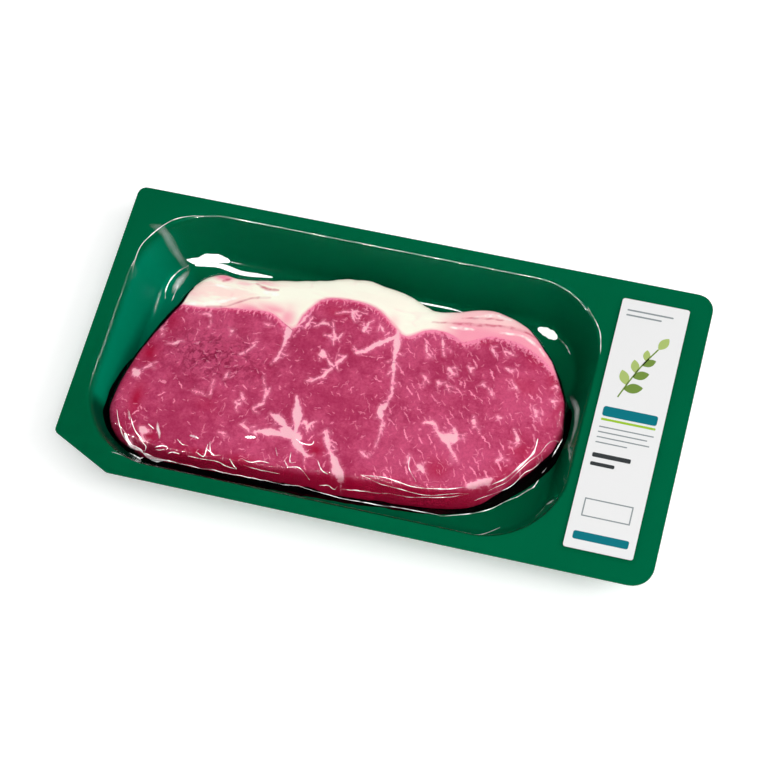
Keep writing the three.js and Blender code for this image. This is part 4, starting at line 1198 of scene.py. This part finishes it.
stem = smoothCurve([(-7.5, 13.0), (-4.0, 22.0), (0.0, 31.0), (5.5, 40.5)], False, 4)
labelPrint = {
    "grey": [bar(-12.5, right, low, low + 0.8, 0.3) for right, low in ((9, 57.4), (4, 54.8))]
    + [bar(-12.5, right, low, low + 0.6, 0.25)
       for right, low in ((12.5, -3.4), (10, -6), (11.5, -8.6), (2, -11.2))]
    + [bar(-11.0, 11.0, low, low + 0.6, 0.25) for low in (-39.2, -47.6)]
    + [bar(left, left + 0.6, -47.0, -39.2, 0.2) for left in (-11.0, 10.4)],
    "leaf": [leaf(*stem[k], 9.5 - 0.35 * k, 0.15 + 0.05 * k) for k in (2, 5, 8)]
    + [np.vstack([stem + (0.3, -0.15), (stem - (0.3, -0.15))[::-1]])],
    "paleLeaf": [leaf(*stem[k], 9.0 - 0.35 * k, 2.2 - 0.06 * k) for k in (3, 6, 9)]
    + [leaf(*stem[-1], 7.5, 1.05)],
    "teal": [bar(-12.5, 12.5, 2.4, 7.4, 1.2), bar(-12.5, 12.5, -59.0, -55.0, 1.0)],
    "lime": [bar(-12.5, 12.5, 0.2, 1.3, 0.5)],
    "ink": [bar(-12.5, 5.0, -18.4, -16.2, 0.6), bar(-12.5, -1.5, -22.6, -20.8, 0.6)],
}
for colourName, outlines in labelPrint.items():
    placed = [outline + (labelCx, labelCy) for outline in outlines]
    ink = platesPiece("labelPrint" + colourName.title(), placed, labelShape["high"] - 0.02,
                      labelShape["high"] + labelShape["printRise"])
    inkMaterial, _, _ = newMaterial("printInk" + colourName.title(), Base_Color=printColours[colourName],
                                    Roughness=0.45, Specular_IOR_Level=0.03)
    ink.data.materials.append(inkMaterial)
    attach(ink, "root")
print("label ready")

# camera, floor and light
cameraView = {
    "place": (187.4, -460.5, 1006.4), "looksAlong": (-0.16937, 0.41682, -0.89307), "roll": -8.341,
    "lens": 112.5,
}
studio = {
    "ambient": 0.6, "key": 7.2, "front": 6.8, "floorGlow": 0.28, "floorHalf": 2500.0,
    "frontGlint": 600.0, "sideGlint": 60.0,  # how bright the gloss-only strips are, before their size counts
}


def aimed(place, along, roll):
    # turned so that its own -Z runs along the given direction, then rolled about it
    turned = Vector(along).to_track_quat("-Z", "Y").to_matrix().to_4x4()
    return Matrix.Translation(Vector(place) * mm) @ turned @ Matrix.Rotation(np.radians(roll), 4, "Z")


cameraData = bpy.data.cameras.new("camera")
cameraData.lens = cameraView["lens"]
cameraData.sensor_width = 36
camera = bpy.data.objects.new("camera", cameraData)
bpy.context.scene.collection.objects.link(camera)
camera.matrix_world = aimed(cameraView["place"], cameraView["looksAlong"], cameraView["roll"])
bpy.context.scene.camera = camera

floorCorners = studio["floorHalf"] * np.array([(-1, -1, 0), (1, -1, 0), (1, 1, 0), (-1, 1, 0)])
floor = makePiece("floor", floorCorners, np.array([[0, 1, 2, 3]]))
floorMaterial, _, _ = newMaterial("paleFloor", Base_Color=(0.95, 0.95, 0.95, 1), Roughness=0.9,
                                  Specular_IOR_Level=0.0, Emission_Color=(1, 1, 1, 1),
                                  Emission_Strength=studio["floorGlow"])
floor.data.materials.append(floorMaterial)


def areaLight(name, place, target, size, power, glossOnly):
    data = bpy.data.lights.new(name, "AREA")
    data.shape = "RECTANGLE"
    data.size, data.size_y = size
    data.energy = power
    light = bpy.data.objects.new(name, data)
    bpy.context.scene.collection.objects.link(light)
    light.matrix_world = aimed(place, Vector(target) - Vector(place), 0)
    light.visible_diffuse = not glossOnly
    light.visible_glossy = glossOnly
    light.visible_camera = False
    return light


def glintStrip(name, place, target, size, brightness):
    # seen in gloss alone: power is brightness times pi times the strip's face
    areaLight(name, place, target, size, brightness * np.pi * size[0] * size[1], True)


areaLight("keySoftbox", (1000, -100, 1050), (0, 0, 10), (0.6, 0.6), studio["key"], False)
areaLight("frontSoftbox", (430, -570, 1500), (0, 0, 10), (0.7, 0.7), studio["front"], False)
glintStrip("frontStrip", (-460, -760, 780), (-20, 0, 15), (1.9, 0.12), studio["frontGlint"])
glintStrip("sideStrip", (900, 480, 530), (-60, 0, 20), (0.25, 0.5), studio["sideGlint"])

world = bpy.data.worlds.new("studio")
bpy.context.scene.world = world
world.use_nodes = True
worldTree = world.node_tree
soft = worldTree.nodes["Background"]
soft.inputs["Color"].default_value = (1, 1, 1, 1)
soft.inputs["Strength"].default_value = studio["ambient"]
dark = addNode(worldTree, "Background", {"Color": (0.5, 0.6, 0.6, 1), "Strength": 0.03})
rays = addNode(worldTree, "LightPath").outputs["Is Glossy Ray"]
blend = addNode(worldTree, "MixShader", {0: rays, 1: soft.outputs[0], 2: dark.outputs[0]})
worldTree.links.new(blend.outputs[0], worldTree.nodes["World Output"].inputs["Surface"])
bpy.context.scene.view_settings.view_transform = "Standard"
print("camera and light ready")
